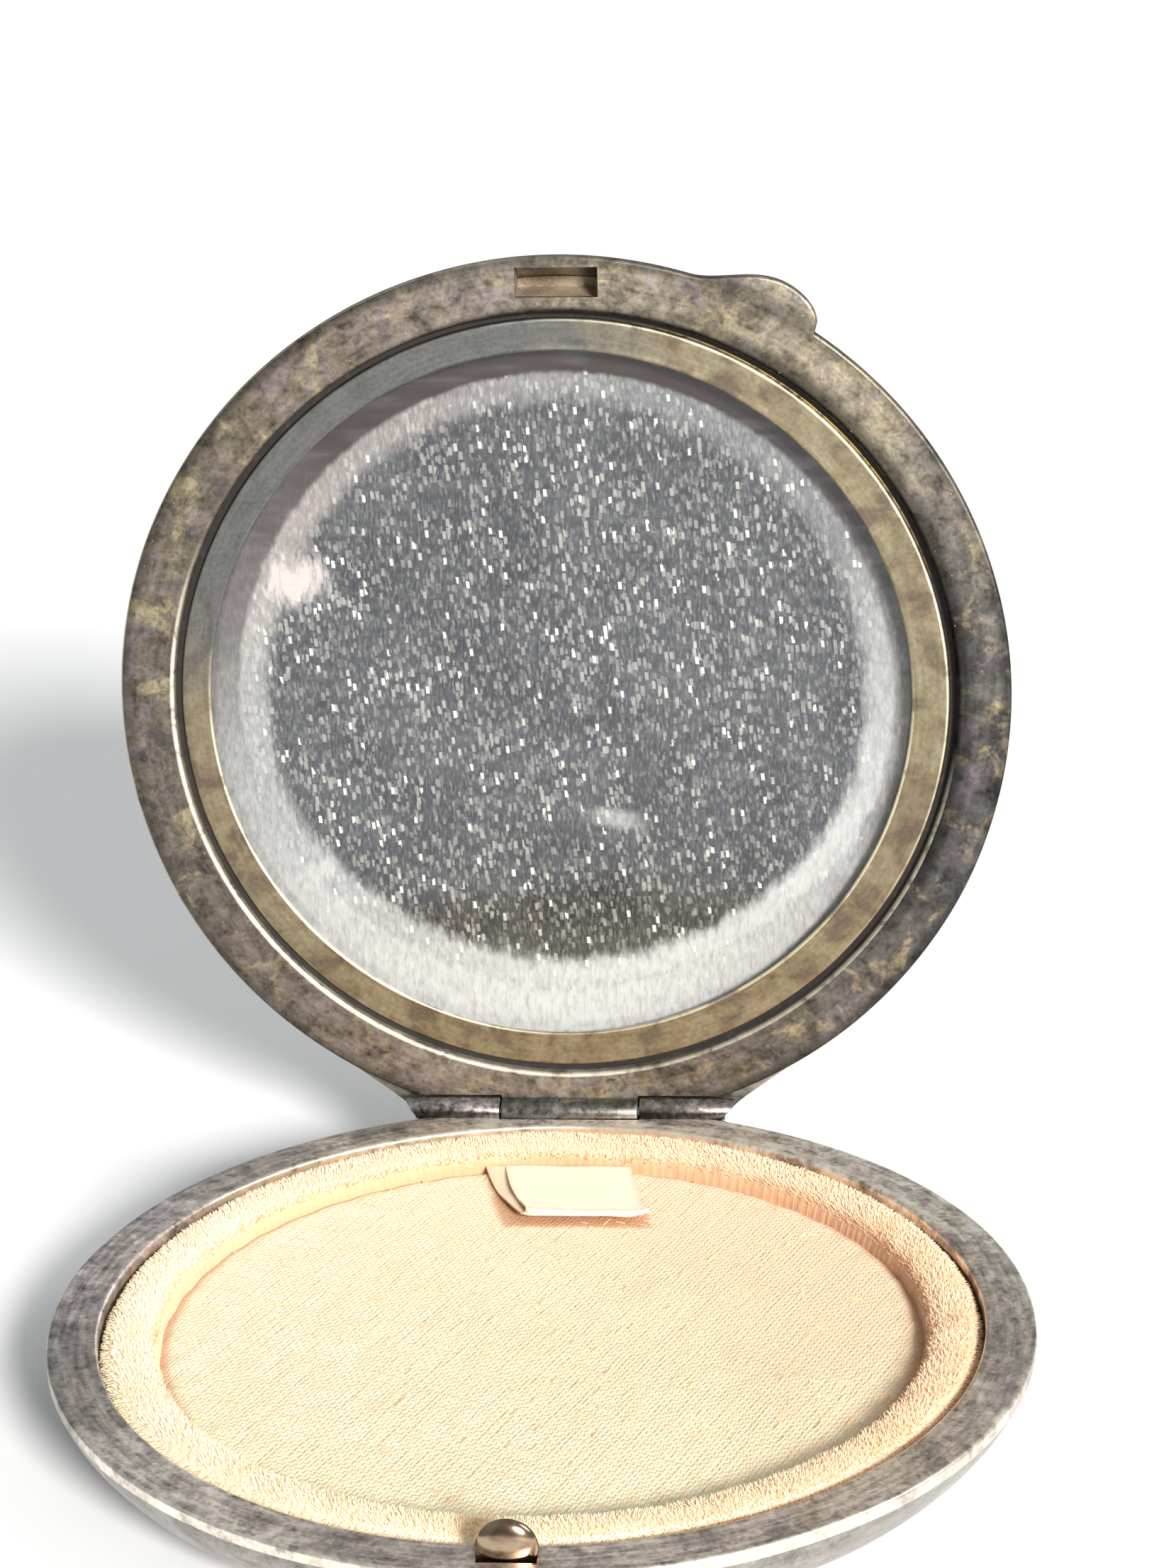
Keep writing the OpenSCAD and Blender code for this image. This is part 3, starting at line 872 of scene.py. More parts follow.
@dataclass(frozen=True)
class RibbonSatin:
    """Narrow silk ribbon: fine cross ribs, a corded edge and a soft shine."""

    name: str = "ribbon_silk"
    face: Colour = (0.85, 0.74, 0.56)
    warm: Colour = (0.84, 0.62, 0.43)
    edge: Colour = (0.80, 0.52, 0.33)
    shaded: Colour = (0.72, 0.42, 0.24)

    def material(self) -> Material:
        """Builds the nodes.

        Returns:
            The material.
        """
        net = Net(self.name)
        across = net.node("ShaderNodeUVMap", {"uv_map": "ribbon"})
        u, v, _ = net.split(across)
        ribs = (v * 420).sine() * 0.5 + 0.5
        threads = net.noise(net.vector(u * 60, v * 9, 0), 1.0, 3, 0.6)
        selvedge = u.bell(0.0, 0.05).most(u.bell(1.0, 0.05))
        # Painted shade: the lower layer of the doubled ribbon is given a shaded warm colour.
        under = v.step(0.505, 0.48)
        beads = (v * 300).sine() * 0.5 + 0.5
        colour = net.mix(self.face, self.warm, threads.step(0.45, 0.8) * 0.35 + ribs * 0.06)
        colour = net.mix(colour, self.edge, selvedge * (0.3 + beads * 0.4))
        colour = net.mix(colour, self.shaded, under * 0.55)
        # Painted shade in a thin line just past the fold.
        fold = v.bell(0.518, 0.012) * threads.step(0.3, 0.6)
        colour = net.mix(colour, self.shaded, fold * 0.8)
        return net.finish({
            "Base Color": colour,
            "Roughness": 0.5 + threads * 0.15,
            "Sheen Weight": 0.25,
            "Sheen Roughness": 0.35,
            "Normal": net.bump(ribs * 0.4 + threads * 0.3 + selvedge * beads, 0.02),
        })


@dataclass(frozen=True)
class Powdery:
    """A soft mat stuff in two tones: pressed powder, wadding or card."""

    name: str
    half: Half
    light: Colour
    deep: Colour
    grain: float = 1.6
    depth: float = 0.05

    def material(self) -> Material:
        """Builds the nodes.

        Returns:
            The material.
        """
        net = Net(self.name)
        where = net.place(self.half)
        cloud = net.noise(where, self.grain * 0.2, 4)
        fine = net.noise(where, self.grain * 3, 4, 0.7)
        colour = net.mix(self.deep, self.light, (cloud * 0.6 + fine * 0.5).step(0.3, 0.75))
        return net.finish({
            "Base Color": colour,
            "Roughness": 0.9,
            "Normal": net.bump(fine, self.depth),
        })


@dataclass(frozen=True)
class StudioPaper:
    """The pale floor that the compact stands on."""

    name: str = "studio_floor"
    colour: Colour = (0.97, 0.972, 0.975)

    def material(self) -> Material:
        """Builds the nodes.

        Returns:
            The material.
        """
        net = Net(self.name)
        where = net.node("ShaderNodeTexCoord", None, None, "Object")
        tooth = net.noise(where, 900, 3)
        return net.finish({"Base Color": self.colour, "Roughness": 0.75 + tooth * 0.1})


# ---- Mesh making ----


def new_piece(name: str, mesh: bpy.types.Mesh) -> Obj:
    """Links a new object into the scene.

    Args:
        name: its name.
        mesh: its mesh.

    Returns:
        The object.
    """
    piece = bpy.data.objects.new(name, mesh)
    bpy.context.scene.collection.objects.link(piece)
    return piece


def from_work(name: str, work: bmesh.types.BMesh) -> Obj:
    """Ends the work on a mesh and links it in as a new object.

    Args:
        name: the object's name.
        work: the mesh that was worked on.

    Returns:
        The object.
    """
    mesh = bpy.data.meshes.new(name)
    work.to_mesh(mesh)
    work.free()
    return new_piece(name, mesh)


def mesh_of(name: str, points: np.ndarray, faces: Sequence[Sequence[int]]) -> bpy.types.Mesh:
    """Makes a mesh.

    Args:
        name: its name.
        points: its points in millimetres.
        faces: each face's points.

    Returns:
        The mesh, in metres.
    """
    mesh = bpy.data.meshes.new(name)
    mesh.from_pydata((np.asarray(points) * MM).tolist(), [], [list(f) for f in faces])
    mesh.update()
    return mesh


def face_outwards(mesh: bpy.types.Mesh, merge: float = 0.0) -> None:
    """Turns a closed mesh's faces outwards.

    Args:
        mesh: the mesh.
        merge: how near points are to be merged first, in millimetres.
    """
    work = bmesh.new()
    work.from_mesh(mesh)
    if merge:
        bmesh.ops.remove_doubles(work, verts=work.verts, dist=merge * MM)
    bmesh.ops.recalc_face_normals(work, faces=work.faces)
    work.to_mesh(mesh)
    work.free()


def smooth(piece: Obj, sharp: float = 35.0) -> Obj:
    """Shades a piece smooth.

    Args:
        piece: the piece.
        sharp: the angle in degrees past which an edge stays sharp.

    Returns:
        The same piece.
    """
    mesh = piece.data
    mesh.polygons.foreach_set("use_smooth", [True] * len(mesh.polygons))
    mesh.set_sharp_from_angle(angle=math.radians(sharp))
    return piece


def applied(piece: Obj) -> Obj:
    """Turns a piece's modifiers into its plain mesh and removes them.

    Args:
        piece: the piece.

    Returns:
        The same piece.
    """
    graph = bpy.context.evaluated_depsgraph_get()
    made = bpy.data.meshes.new_from_object(piece.evaluated_get(graph))
    piece.modifiers.clear()
    piece.data = made
    return piece


def arc(centre: Point2, radius: float, start: float, end: float, steps: int) -> list[Point2]:
    """Returns points along an arc, from one angle in degrees to another, both included."""
    turns = np.radians(np.linspace(start, end, steps + 1))
    return [(centre[0] + radius * math.cos(t), centre[1] + radius * math.sin(t)) for t in turns]


def run(start: Point2, end: Point2, steps: int) -> list[Point2]:
    """Returns points along a straight run, without its last one."""
    shares = np.arange(steps) / steps
    return [(start[0] + (end[0] - start[0]) * s, start[1] + (end[1] - start[1]) * s) for s in shares]


def lathe(name: str, section: Sequence[Point2], segments: int, ring: bool,
          shifts: Sequence[Point2] | None = None) -> Obj:
    """Turns a half section about the Z axis.

    Args:
        name: the piece's name.
        section: (radius, height) points in millimetres.
        segments: how many steps go round.
        ring: True if the section closes on itself, False if it starts and ends on the axis.
        shifts: how far each section point's circle is off centre, if some are.

    Returns:
        The new piece, closed and with its faces outwards.
    """
    turns = np.linspace(0, math.tau, segments, endpoint=False)
    rounds = np.stack([np.cos(turns), np.sin(turns)], 1)
    points, rows = [], []
    for (radius, height), (off_x, off_y) in zip(section, shifts or [(0.0, 0.0)] * len(section)):
        start = len(points)
        if radius < ON_AXIS:
            points.append((0, 0, height))
            rows.append([start] * segments)
        else:
            points.extend((radius * c + off_x, radius * s + off_y, height) for c, s in rounds)
            rows.append(list(range(start, start + segments)))
    faces = []
    pairs = list(zip(rows, rows[1:])) + ([(rows[-1], rows[0])] if ring else [])
    for low, high in pairs:
        for i in range(segments):
            j = (i + 1) % segments
            corners = list(dict.fromkeys([low[i], low[j], high[j], high[i]]))
            if len(corners) > 2:
                faces.append(corners)
    mesh = mesh_of(name, np.array(points), faces)
    face_outwards(mesh)
    return new_piece(name, mesh)


def placed(piece: Obj, matrix: Matrix) -> Obj:
    """Moves a piece's mesh, and leaves its object at the origin.

    Args:
        piece: the piece.
        matrix: the move, in metres.

    Returns:
        The same piece.
    """
    piece.data.transform(matrix)
    piece.data.update()
    return piece


def dented(piece: Obj, depth: float, size: float, seed: float) -> Obj:
    """Pushes a mesh in and out by smooth noise, as age and handling do.

    Args:
        piece: the piece to change.
        depth: the most that a point moves, in millimetres.
        size: the width of the dents, in millimetres.
        seed: slides the noise to another place.

    Returns:
        The same piece.
    """
    mesh = piece.data
    shift = Vector((seed, seed * 0.7, seed * 1.3))
    moves = [v.normal * (noise.noise(v.co / (size * MM) + shift) * depth * MM) for v in mesh.vertices]
    for vertex, move in zip(mesh.vertices, moves):
        vertex.co += move
    mesh.update()
    return piece


def cut_by(piece: Obj, cutters: Sequence[Obj]) -> Obj:
    """Cuts solids out of a piece and removes them.

    Args:
        piece: the piece.
        cutters: the solids.

    Returns:
        The same piece.
    """
    for cutter in cutters:
        tool = piece.modifiers.new("cut", "BOOLEAN")
        tool.operation = "DIFFERENCE"
        tool.solver = "EXACT"
        tool.object = cutter
    applied(piece)
    for cutter in cutters:
        bpy.data.objects.remove(cutter)
    return piece


def block(low: Sequence[float], high: Sequence[float]) -> Obj:
    """Makes a box for cutting.

    Args:
        low: its lowest corner, in millimetres.
        high: its highest corner.

    Returns:
        The box.
    """
    work = bmesh.new()
    bmesh.ops.create_cube(work, size=1.0)
    middle = (Vector(low) + Vector(high)) / 2
    sides = Vector(high) - Vector(low)
    for vertex in work.verts:
        vertex.co = (middle + Vector(a * b for a, b in zip(vertex.co, sides))) * MM
    return from_work("cutter", work)


def bar(x_from: float, x_to: float, radius: float) -> Obj:
    """Makes a bar along the closed hinge line, with heights from the seam.

    Args:
        x_from: its left end, in millimetres.
        x_to: its right end.
        radius: its radius.

    Returns:
        The bar.
    """
    work = bmesh.new()
    length = (x_to - x_from) * MM
    bmesh.ops.create_cone(work, cap_ends=True, segments=64, radius1=radius * MM,
                          radius2=radius * MM, depth=length)
    turn = Matrix.Rotation(math.radians(90), 4, "Y")
    middle = Vector(((x_from + x_to) / 2, PLACE.hinge_y, 0)) * MM
    bmesh.ops.transform(work, matrix=Matrix.Translation(middle) @ turn, verts=work.verts)
    return from_work("cutter", work)


def eased_copy(node: str, name: str, edge: float, steps: int = 3) -> Obj:
    """Copies a CAD node and eases its sharp edges, as wear and polishing do.

    Args:
        node: the CAD node, which the copy then replaces.
        name: the new piece's name.
        edge: the width of the eased edges, in millimetres.
        steps: how many facets round each edge.

    Returns:
        The new piece, riding nowhere yet.
    """
    work = bmesh.new()
    work.from_mesh(frame["nodes"][node].data)
    bmesh.ops.remove_doubles(work, verts=work.verts, dist=0.002 * MM)
    bmesh.ops.dissolve_limit(work, angle_limit=math.radians(0.5), verts=work.verts, edges=work.edges)
    sharp = [e for e in work.edges if e.is_manifold and e.calc_face_angle(0) > math.radians(38)]
    bmesh.ops.bevel(work, geom=sharp, offset=edge * MM, segments=steps, profile=0.5,
                    affect="EDGES", clamp_overlap=True)
    piece = from_work(name, work)
    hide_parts(node)
    return smooth(piece)


# ---- Geometry nodes ----


class Growth:
    """A geometry node tree with named inputs, built one node at a time."""

    def __init__(self, name: str) -> None:
        """Makes the tree with a geometry input and output.

        Args:
            name: its name.
        """
        self.tree = bpy.data.node_groups.new(name, "GeometryNodeTree")
        self.tree.interface.new_socket("Geometry", in_out="INPUT", socket_type="NodeSocketGeometry")
        self.tree.interface.new_socket("Geometry", in_out="OUTPUT", socket_type="NodeSocketGeometry")
        self.start = self.tree.nodes.new("NodeGroupInput")
        self.end = self.tree.nodes.new("NodeGroupOutput")

    def size(self, name: str, value: float | int) -> Socket:
        """Adds a named number input.

        Args:
            name: its name.
            value: its usual value.

        Returns:
            Its socket inside the tree.
        """
        kind = "NodeSocketInt" if isinstance(value, int) else "NodeSocketFloat"
        item = self.tree.interface.new_socket(name, in_out="INPUT", socket_type=kind)
        item.default_value = value
        return next(s for s in self.start.outputs if s.identifier == item.identifier)

    def node(
        self,
        kind: str,
        settings: dict[str, object] | None = None,
        inputs: dict[str | int, object] | None = None,
    ) -> bpy.types.Node:
        """Adds a node.

        Args:
            kind: its type name.
            settings: its properties.
            inputs: the values or links of its sockets, by name or number.

        Returns:
            The node.
        """
        made = self.tree.nodes.new(kind)
        for key, value in (settings or {}).items():
            setattr(made, key, value)
        for key, value in (inputs or {}).items():
            socket = made.inputs[key]
            if isinstance(value, Socket):
                self.tree.links.new(value, socket)
            else:
                socket.default_value = value
        return made

    def math(self, how: str, a: object, b: object = 0.0) -> Socket:
        """Adds a Math node and returns its result."""
        return self.node("ShaderNodeMath", {"operation": how}, {0: a, 1: b}).outputs[0]

    def scatter(self, density: Socket, seed: Socket) -> Socket:
        """Scatters points on the surface, thinned by its pile attribute.

        Args:
            density: points per square metre where the attribute is 1.
            seed: the seed.

        Returns:
            The points.
        """
        cover = self.node("GeometryNodeInputNamedAttribute", {"data_type": "FLOAT"}, {"Name": "pile"})
        share = self.math("MULTIPLY", density, cover.outputs[0])
        spread = self.node("GeometryNodeDistributePointsOnFaces", {"distribute_method": "RANDOM"},
                           {"Mesh": self.start.outputs["Geometry"], "Density": share, "Seed": seed})
        return spread.outputs[0]

    def finish(self, geometry: Socket, material: Material) -> None:
        """Ends the tree in Realize Instances and Set Material.

        Args:
            geometry: what the tree has made.
            material: its material.
        """
        real = self.node("GeometryNodeRealizeInstances", None, {"Geometry": geometry})
        dressed = self.node("GeometryNodeSetMaterial", None,
                            {"Geometry": real.outputs[0], "Material": material})
        self.tree.links.new(dressed.outputs[0], self.end.inputs["Geometry"])

    def grow(self, piece: Obj, sizes: dict[str, float | int]) -> Obj:
        """Runs the tree on a piece, and leaves a plain mesh.

        Args:
            piece: the piece.
            sizes: the named inputs' values.

        Returns:
            The same piece.
        """
        modifier = piece.modifiers.new(self.tree.name, "NODES")
        modifier.node_group = self.tree
        for item in self.tree.interface.items_tree:
            if item.in_out == "INPUT" and item.name in sizes:
                modifier[item.identifier] = sizes[item.name]
        return applied(piece)


def pile_tree(material: Material) -> Growth:
    """Builds the tree that grows tufts from a surface, leaning as its comb attribute says.

    Args:
        material: the tufts' material.

    Returns:
        The tree.
    """
    tree = Growth("velour_pile")
    density = tree.size("Tufts Per Square Metre", 3.0e7)
    length = tree.size("Length", 0.0008)
    thick = tree.size("Thickness", 0.0001)
    stray = tree.size("Stray", 0.35)
    seed = tree.size("Seed", 7)
    spread = tree.scatter(density, seed)
    comb = tree.node("GeometryNodeInputNamedAttribute", {"data_type": "FLOAT_VECTOR"},
                     {"Name": "comb"})
    loose = tree.node("FunctionNodeRandomValue", {"data_type": "FLOAT_VECTOR"},
                      {0: (-1, -1, -1), 1: (1, 1, 1), "Seed": seed})
    strayed = tree.node("ShaderNodeVectorMath", {"operation": "SCALE"},
                        {0: loose.outputs[0], "Scale": stray})
    lean = tree.node("ShaderNodeVectorMath", {"operation": "ADD"},
                     {0: comb.outputs[0], 1: strayed.outputs[0]})
    stand = tree.node("FunctionNodeAlignRotationToVector", {"axis": "Z"},
                      {"Vector": lean.outputs[0]})
    tuft = tree.node("GeometryNodeMeshCone", {"fill_type": "NONE"},
                     {"Vertices": 3, "Side Segments": 1, "Radius Top": tree.math("MULTIPLY", thick, 0.25),
                      "Radius Bottom": thick, "Depth": length})
    height = tree.node("GeometryNodeInputPosition")
    parts = tree.node("ShaderNodeSeparateXYZ", None, {0: height.outputs[0]})
    along = tree.math("DIVIDE", parts.outputs[2], length)
    marked = tree.node("GeometryNodeStoreNamedAttribute", {"data_type": "FLOAT", "domain": "POINT"},
                       {"Geometry": tuft.outputs[0], "Name": "along", "Value": along})
    big = tree.node("FunctionNodeRandomValue", {"data_type": "FLOAT"}, {2: 0.65, 3: 1.2, "Seed": seed})
    planted = tree.node("GeometryNodeInstanceOnPoints", None,
                        {"Points": spread, "Instance": marked.outputs[0],
                         "Rotation": stand.outputs[0], "Scale": big.outputs[1]})
    tone = tree.node("FunctionNodeRandomValue", {"data_type": "FLOAT"}, {2: 0.0, 3: 1.0, "Seed": 11})
    toned = tree.node("GeometryNodeStoreNamedAttribute", {"data_type": "FLOAT", "domain": "INSTANCE"},
                      {"Geometry": planted.outputs[0], "Name": "tint", "Value": tone.outputs[1]})
    tree.finish(toned.outputs[0], material)
    return tree


def slub_tree(material: Material) -> Growth:
    """Builds the tree that lays short thick places of thread on cloth, along its two threads.

    Args:
        material: the thread's material.

    Returns:
        The tree.
    """
    tree = Growth("cloth_slubs")
    density = tree.size("Slubs Per Square Metre", 3.0e5)
    length = tree.size("Length", 0.0014)
    thick = tree.size("Thickness", 0.00007)
    turn = tree.size("Thread Turn", 0.4)
    seed = tree.size("Seed", 5)
    spread = tree.scatter(density, seed)
    pick = tree.node("FunctionNodeRandomValue", {"data_type": "INT"}, {4: 0, 5: 1, "Seed": seed})
    quarter = tree.math("MULTIPLY", pick.outputs[2], math.pi / 2)
    way = tree.math("ADD", quarter, turn)
    spin = tree.node("ShaderNodeCombineXYZ", None, {2: way})
    thread = tree.node("GeometryNodeMeshCylinder", {"fill_type": "TRIANGLE_FAN"},
                       {"Vertices": 6, "Side Segments": 1, "Radius": thick, "Depth": length})
    laid = tree.node("GeometryNodeTransform", None,
                     {"Geometry": thread.outputs[0], "Rotation": (0, math.pi / 2, 0),
                      "Scale": (1.0, 1.0, 0.55)})
    big = tree.node("FunctionNodeRandomValue", {"data_type": "FLOAT"}, {2: 0.45, 3: 1.25, "Seed": 3})
    planted = tree.node("GeometryNodeInstanceOnPoints", None,
                        {"Points": spread, "Instance": laid.outputs[0],
                         "Rotation": spin.outputs[0], "Scale": big.outputs[1]})
    tree.finish(planted.outputs[0], material)
    return tree


# ---- Dressing ----


def dress(piece: Obj, finish: Material, body: str, slot: str, *nodes: str) -> Obj:
    """Gives a piece its finish, the body that it rides on and the CAD nodes that it stands for.

    Args:
        piece: the finished piece.
        finish: its material.
        body: the CAD body that it moves with.
        slot: the record's material slot; not used.
        nodes: the CAD nodes that it replaces.

    Returns:
        The same piece.
    """
    piece.data.materials.clear()
    piece.data.materials.append(finish)
    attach(piece, body)
    if nodes:
        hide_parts(*nodes)
    LOG.info("%s: %d faces on %s", piece.name, len(piece.data.polygons), body)
    return piece


# ---- Case ----


LID_RIM_TONES: tuple[tuple[float, Colour], ...] = (
    (-180, (0.241, 0.218, 0.182)), (-150, (0.211, 0.179, 0.160)), (-125, (0.146, 0.122, 0.102)),
    (-90, (0.143, 0.123, 0.099)), (-60, (0.155, 0.130, 0.099)), (-30, (0.194, 0.158, 0.127)),
    (-8, (0.222, 0.190, 0.158)), (20, (0.218, 0.184, 0.136)), (42, (0.273, 0.234, 0.174)),
    (60, (0.190, 0.165, 0.136)), (82, (0.102, 0.095, 0.086)), (108, (0.074, 0.070, 0.070)),
    (138, (0.121, 0.113, 0.103)), (160, (0.131, 0.117, 0.095)), (180, (0.241, 0.218, 0.182)))
BASE_RIM_TONES: tuple[tuple[float, Colour], ...] = (
    (-180, (0.97, 0.84, 0.72)), (-140, (0.50, 0.45, 0.40)), (-110, (0.72, 0.64, 0.62)),
    (-75, (0.34, 0.31, 0.285)), (-42, (0.92, 0.82, 0.74)), (-10, (0.66, 0.58, 0.53)),
    (20, (0.92, 0.77, 0.68)), (50, (0.86, 0.73, 0.61)), (85, (0.55, 0.48, 0.43)),
    (115, (0.97, 0.86, 0.73)), (145, (0.98, 0.86, 0.74)), (180, (0.97, 0.84, 0.72)))
OUTSIDE_TONES: tuple[tuple[float, Colour], ...] = (
    (-180, (0.302, 0.286, 0.260)), (-90, (0.353, 0.336, 0.311)), (0, (0.319, 0.294, 0.269)),
    (90, (0.370, 0.344, 0.311)), (180, (0.302, 0.286, 0.260)))
LID_HINGE_TONES: tuple[tuple[float, Colour], ...] = (
    (-180, (0.15, 0.145, 0.13)), (180, (0.13, 0.12, 0.105)))
HINGE_TONES: tuple[tuple[float, Colour], ...] = (
    (-180, (0.34, 0.30, 0.28)), (-160, (0.40, 0.36, 0.35)), (160, (0.30, 0.26, 0.23)),
    (180, (0.34, 0.30, 0.28)))


def outside_finish(name: str, half: Half) -> Material:
    """Makes the finish of the outside of a half, which its hinge bearer shares.

    Args:
        name: the material's name.
        half: the half.

    Returns:
        The material.
    """
    return TarnishedSilver(
        name, half, OUTSIDE_TONES, dark=(0.13, 0.12, 0.115), olive=(0.40, 0.37, 0.30),
        violet=(0.26, 0.24, 0.27), dark_share=0.4, olive_share=0.3, violet_share=0.25,
        patch=0.12, polish=0.28).material()


@dataclass
class Case:
    """The spun base pan and lid shell, and the flat seating rims that close on each other.

    The lid's rim has the slot for the catch and the thumb piece. thumb_peak is the angle of the
    thumb piece's tip from the catch, and thumb_rise and thumb_fall its reach on either side. The
    base's rim has a notch for the bead's tang.
    """

    segments: int = 360
    foot_r: float = 21.5
    base_wall: float = 0.6
    lid_wall: float = 0.45
    lid_h: float = 6.5
    crown_rise: float = 0.5
    rim_t: float = 0.8
    base_rim_w: float = 3.05
    lid_rim_w: float = 3.65
    rim_edge: float = 0.25
    face_gap: float = 0.05
    knuckle_r: float = 1.05
    swing_gap: float = 0.15
    middle_half: float = 4.75
    knuckle_gap: float = 0.1
    hinge_half: float = 12.2
    thumb_peak: float = 28.0
    thumb_rise: float = 11.5
    thumb_fall: float = 6.0
    thumb_out: float = 1.8
    slot_w: float = 5.4
    slot_in: float = 27.3
    slot_l: float = 1.95
    notch_half: float = 1.65
    notch_in: float = 27.245
    notch_out: float = 28.8
    cut_past: float = 2.0

    def arc_r(self) -> float:
        """Returns the radius of the arc from the foot up to the side."""
        side = PLACE.seam - self.rim_t
        return ((PLACE.radius - self.foot_r) ** 2 + side ** 2) / (2 * side)

    def bowl(self, wall: float, top: float) -> list[Point2]:
        """Draws the arc of a dish standing on z = 0.

        Args:
            wall: how far the arc is inset.
            top: the height that it ends at.

        Returns:
            Points from the floor to the top.
        """
        big = self.arc_r()
        own = big - wall
        end = math.degrees(math.asin((top - big) / own))
        return arc((self.foot_r, big), own, -90, end, 28)

    def base_pan(self) -> Obj:
        """Builds the base's spun dish.

        Returns:
            The dish.
        """
        top = PLACE.seam - self.rim_t
        outer = run((0, 0), (self.foot_r, 0), 8) + self.bowl(0, top)
        inner = list(reversed(self.bowl(self.base_wall, top)))
        inner += run((self.foot_r - 1e-3, self.base_wall), (0, self.base_wall), 8) + [(0, self.base_wall)]
        pan = lathe("pan", outer + inner, self.segments, ring=False)
        dented(pan, 0.035, 9, 3.0)
        return smooth(cut_by(pan, self.room(Half.BASE, PLACE.seam)))

    def lid_shell(self) -> Obj:
        """Builds the lid's spun shell with its shallow crown.

        Returns:
            The shell.
        """
        big = (self.foot_r ** 2 + self.crown_rise ** 2) / (2 * self.crown_rise)
        tilt = math.degrees(math.asin(self.foot_r / big))
        peak = self.lid_h + self.crown_rise
        dome = [(max(0.0, r), h) for r, h in arc((0, peak - big), big, 90, 90 - tilt, 16)]
        outer = dome[:-1] + [(r, self.lid_h - h) for r, h in self.bowl(0, self.lid_h - self.rim_t)]
        under = [(r, self.lid_h - h) for r, h in self.bowl(self.lid_wall, self.lid_h - self.rim_t)]
        inner = list(reversed(under)) + [(r, h - self.lid_wall) for r, h in reversed(dome[:-1])]
        shell = lathe("shell", outer + inner, self.segments, ring=False)
        dented(shell, 0.04, 11, 8.0)
        cut_by(shell, self.room(Half.LID, 0))
        return smooth(placed(shell, PLACE.above_seam()))

    def room(self, half: Half, seam: float) -> list[Obj]:
        """Makes the cutters that leave room for the knuckles.

        Args:
            half: the half to be cut.
            seam: the seam's height.

        Returns:
            The cutters.
        """
        middle = self.middle_half + (self.knuckle_gap if half is Half.BASE else 0)
        inner_r = self.knuckle_r + (self.swing_gap if half is Half.BASE else 0)
        outer_r = self.knuckle_r + (0 if half is Half.BASE else self.swing_gap)
        cutters = [bar(-middle, middle, inner_r), bar(middle, self.hinge_half + 1, outer_r),
                   bar(-self.hinge_half - 1, -middle, outer_r)]
        for cutter in cutters:
            placed(cutter, Matrix.Translation((0, 0, seam * MM)))
        return cutters

    def rim(self, half: Half) -> Obj:
        """Builds a flat seating rim with rounded edges, cut for the hinge and the catch.

        Args:
            half: the half that it belongs to.

        Returns:
            The rim.
        """
        base = half is Half.BASE
        inner = PLACE.radius - (self.base_rim_w if base else self.lid_rim_w)
        outer, edge = PLACE.radius, self.rim_edge
        face, back = self.face_gap, self.rim_t
        section = [(inner, back)] + arc((inner + edge, face + edge), edge, 180, 270, 6)
        section += run((inner + edge + 0.1, face), (outer - edge - 0.1, face), 6)
        section += arc((outer - edge, face + edge), edge, 270, 360, 6) + [(outer, back)]
        if base:
            section = [(r, PLACE.seam - h) for r, h in section]
        ring = lathe("rim", section, self.segments if base else 2 * self.segments, ring=True)
        if not base:
            self.draw_thumb_piece(ring)
        dented(ring, 0.03, 7, 5.0 if base else 12.0)
        seam = PLACE.seam if base else 0
        low, high = seam - self.cut_past, seam + self.cut_past
        cutters = self.room(half, seam)
        cutters.append(block((-self.hinge_half, PLACE.hinge_y, low),
                             (self.hinge_half, PLACE.hinge_y + 3, high)))
        wide = self.notch_half if base else self.slot_w / 2
        near, far = ((self.notch_in, self.notch_out) if base
                     else (self.slot_in, self.slot_in + self.slot_l))
        cutters.append(block((-wide, -far, low), (wide, -near, high)))
        cut_by(ring, cutters)
        return smooth(ring if base else placed(ring, PLACE.above_seam()))

    def draw_thumb_piece(self, ring: Obj) -> None:
        """Draws the rim's edge out into the thumb piece: a long rise and a blunt end.

        Args:
            ring: the lid's rim, as it lies closed.
        """
        for vertex in ring.data.vertices:
            spot = vertex.co / MM
            radius = math.hypot(spot.x, spot.y)
            away = math.degrees(math.atan2(spot.x, -spot.y)) - self.thumb_peak
            if radius < PLACE.radius - 0.3 or not -self.thumb_rise < away < self.thumb_fall:
                continue
            out = (math.sin(math.pi / 2 * (1 + away / self.thumb_rise)) ** 2 if away < 0
                   else math.sqrt(1 - (away / self.thumb_fall) ** 2))
            vertex.co.x += vertex.co.x / radius * out * self.thumb_out
            vertex.co.y += vertex.co.y / radius * out * self.thumb_out
        ring.data.update()

    def build(self) -> None:
        """Builds and dresses the whole case."""
        inner_base = PLACE.radius - self.base_rim_w
        inner_lid = PLACE.radius - self.lid_rim_w
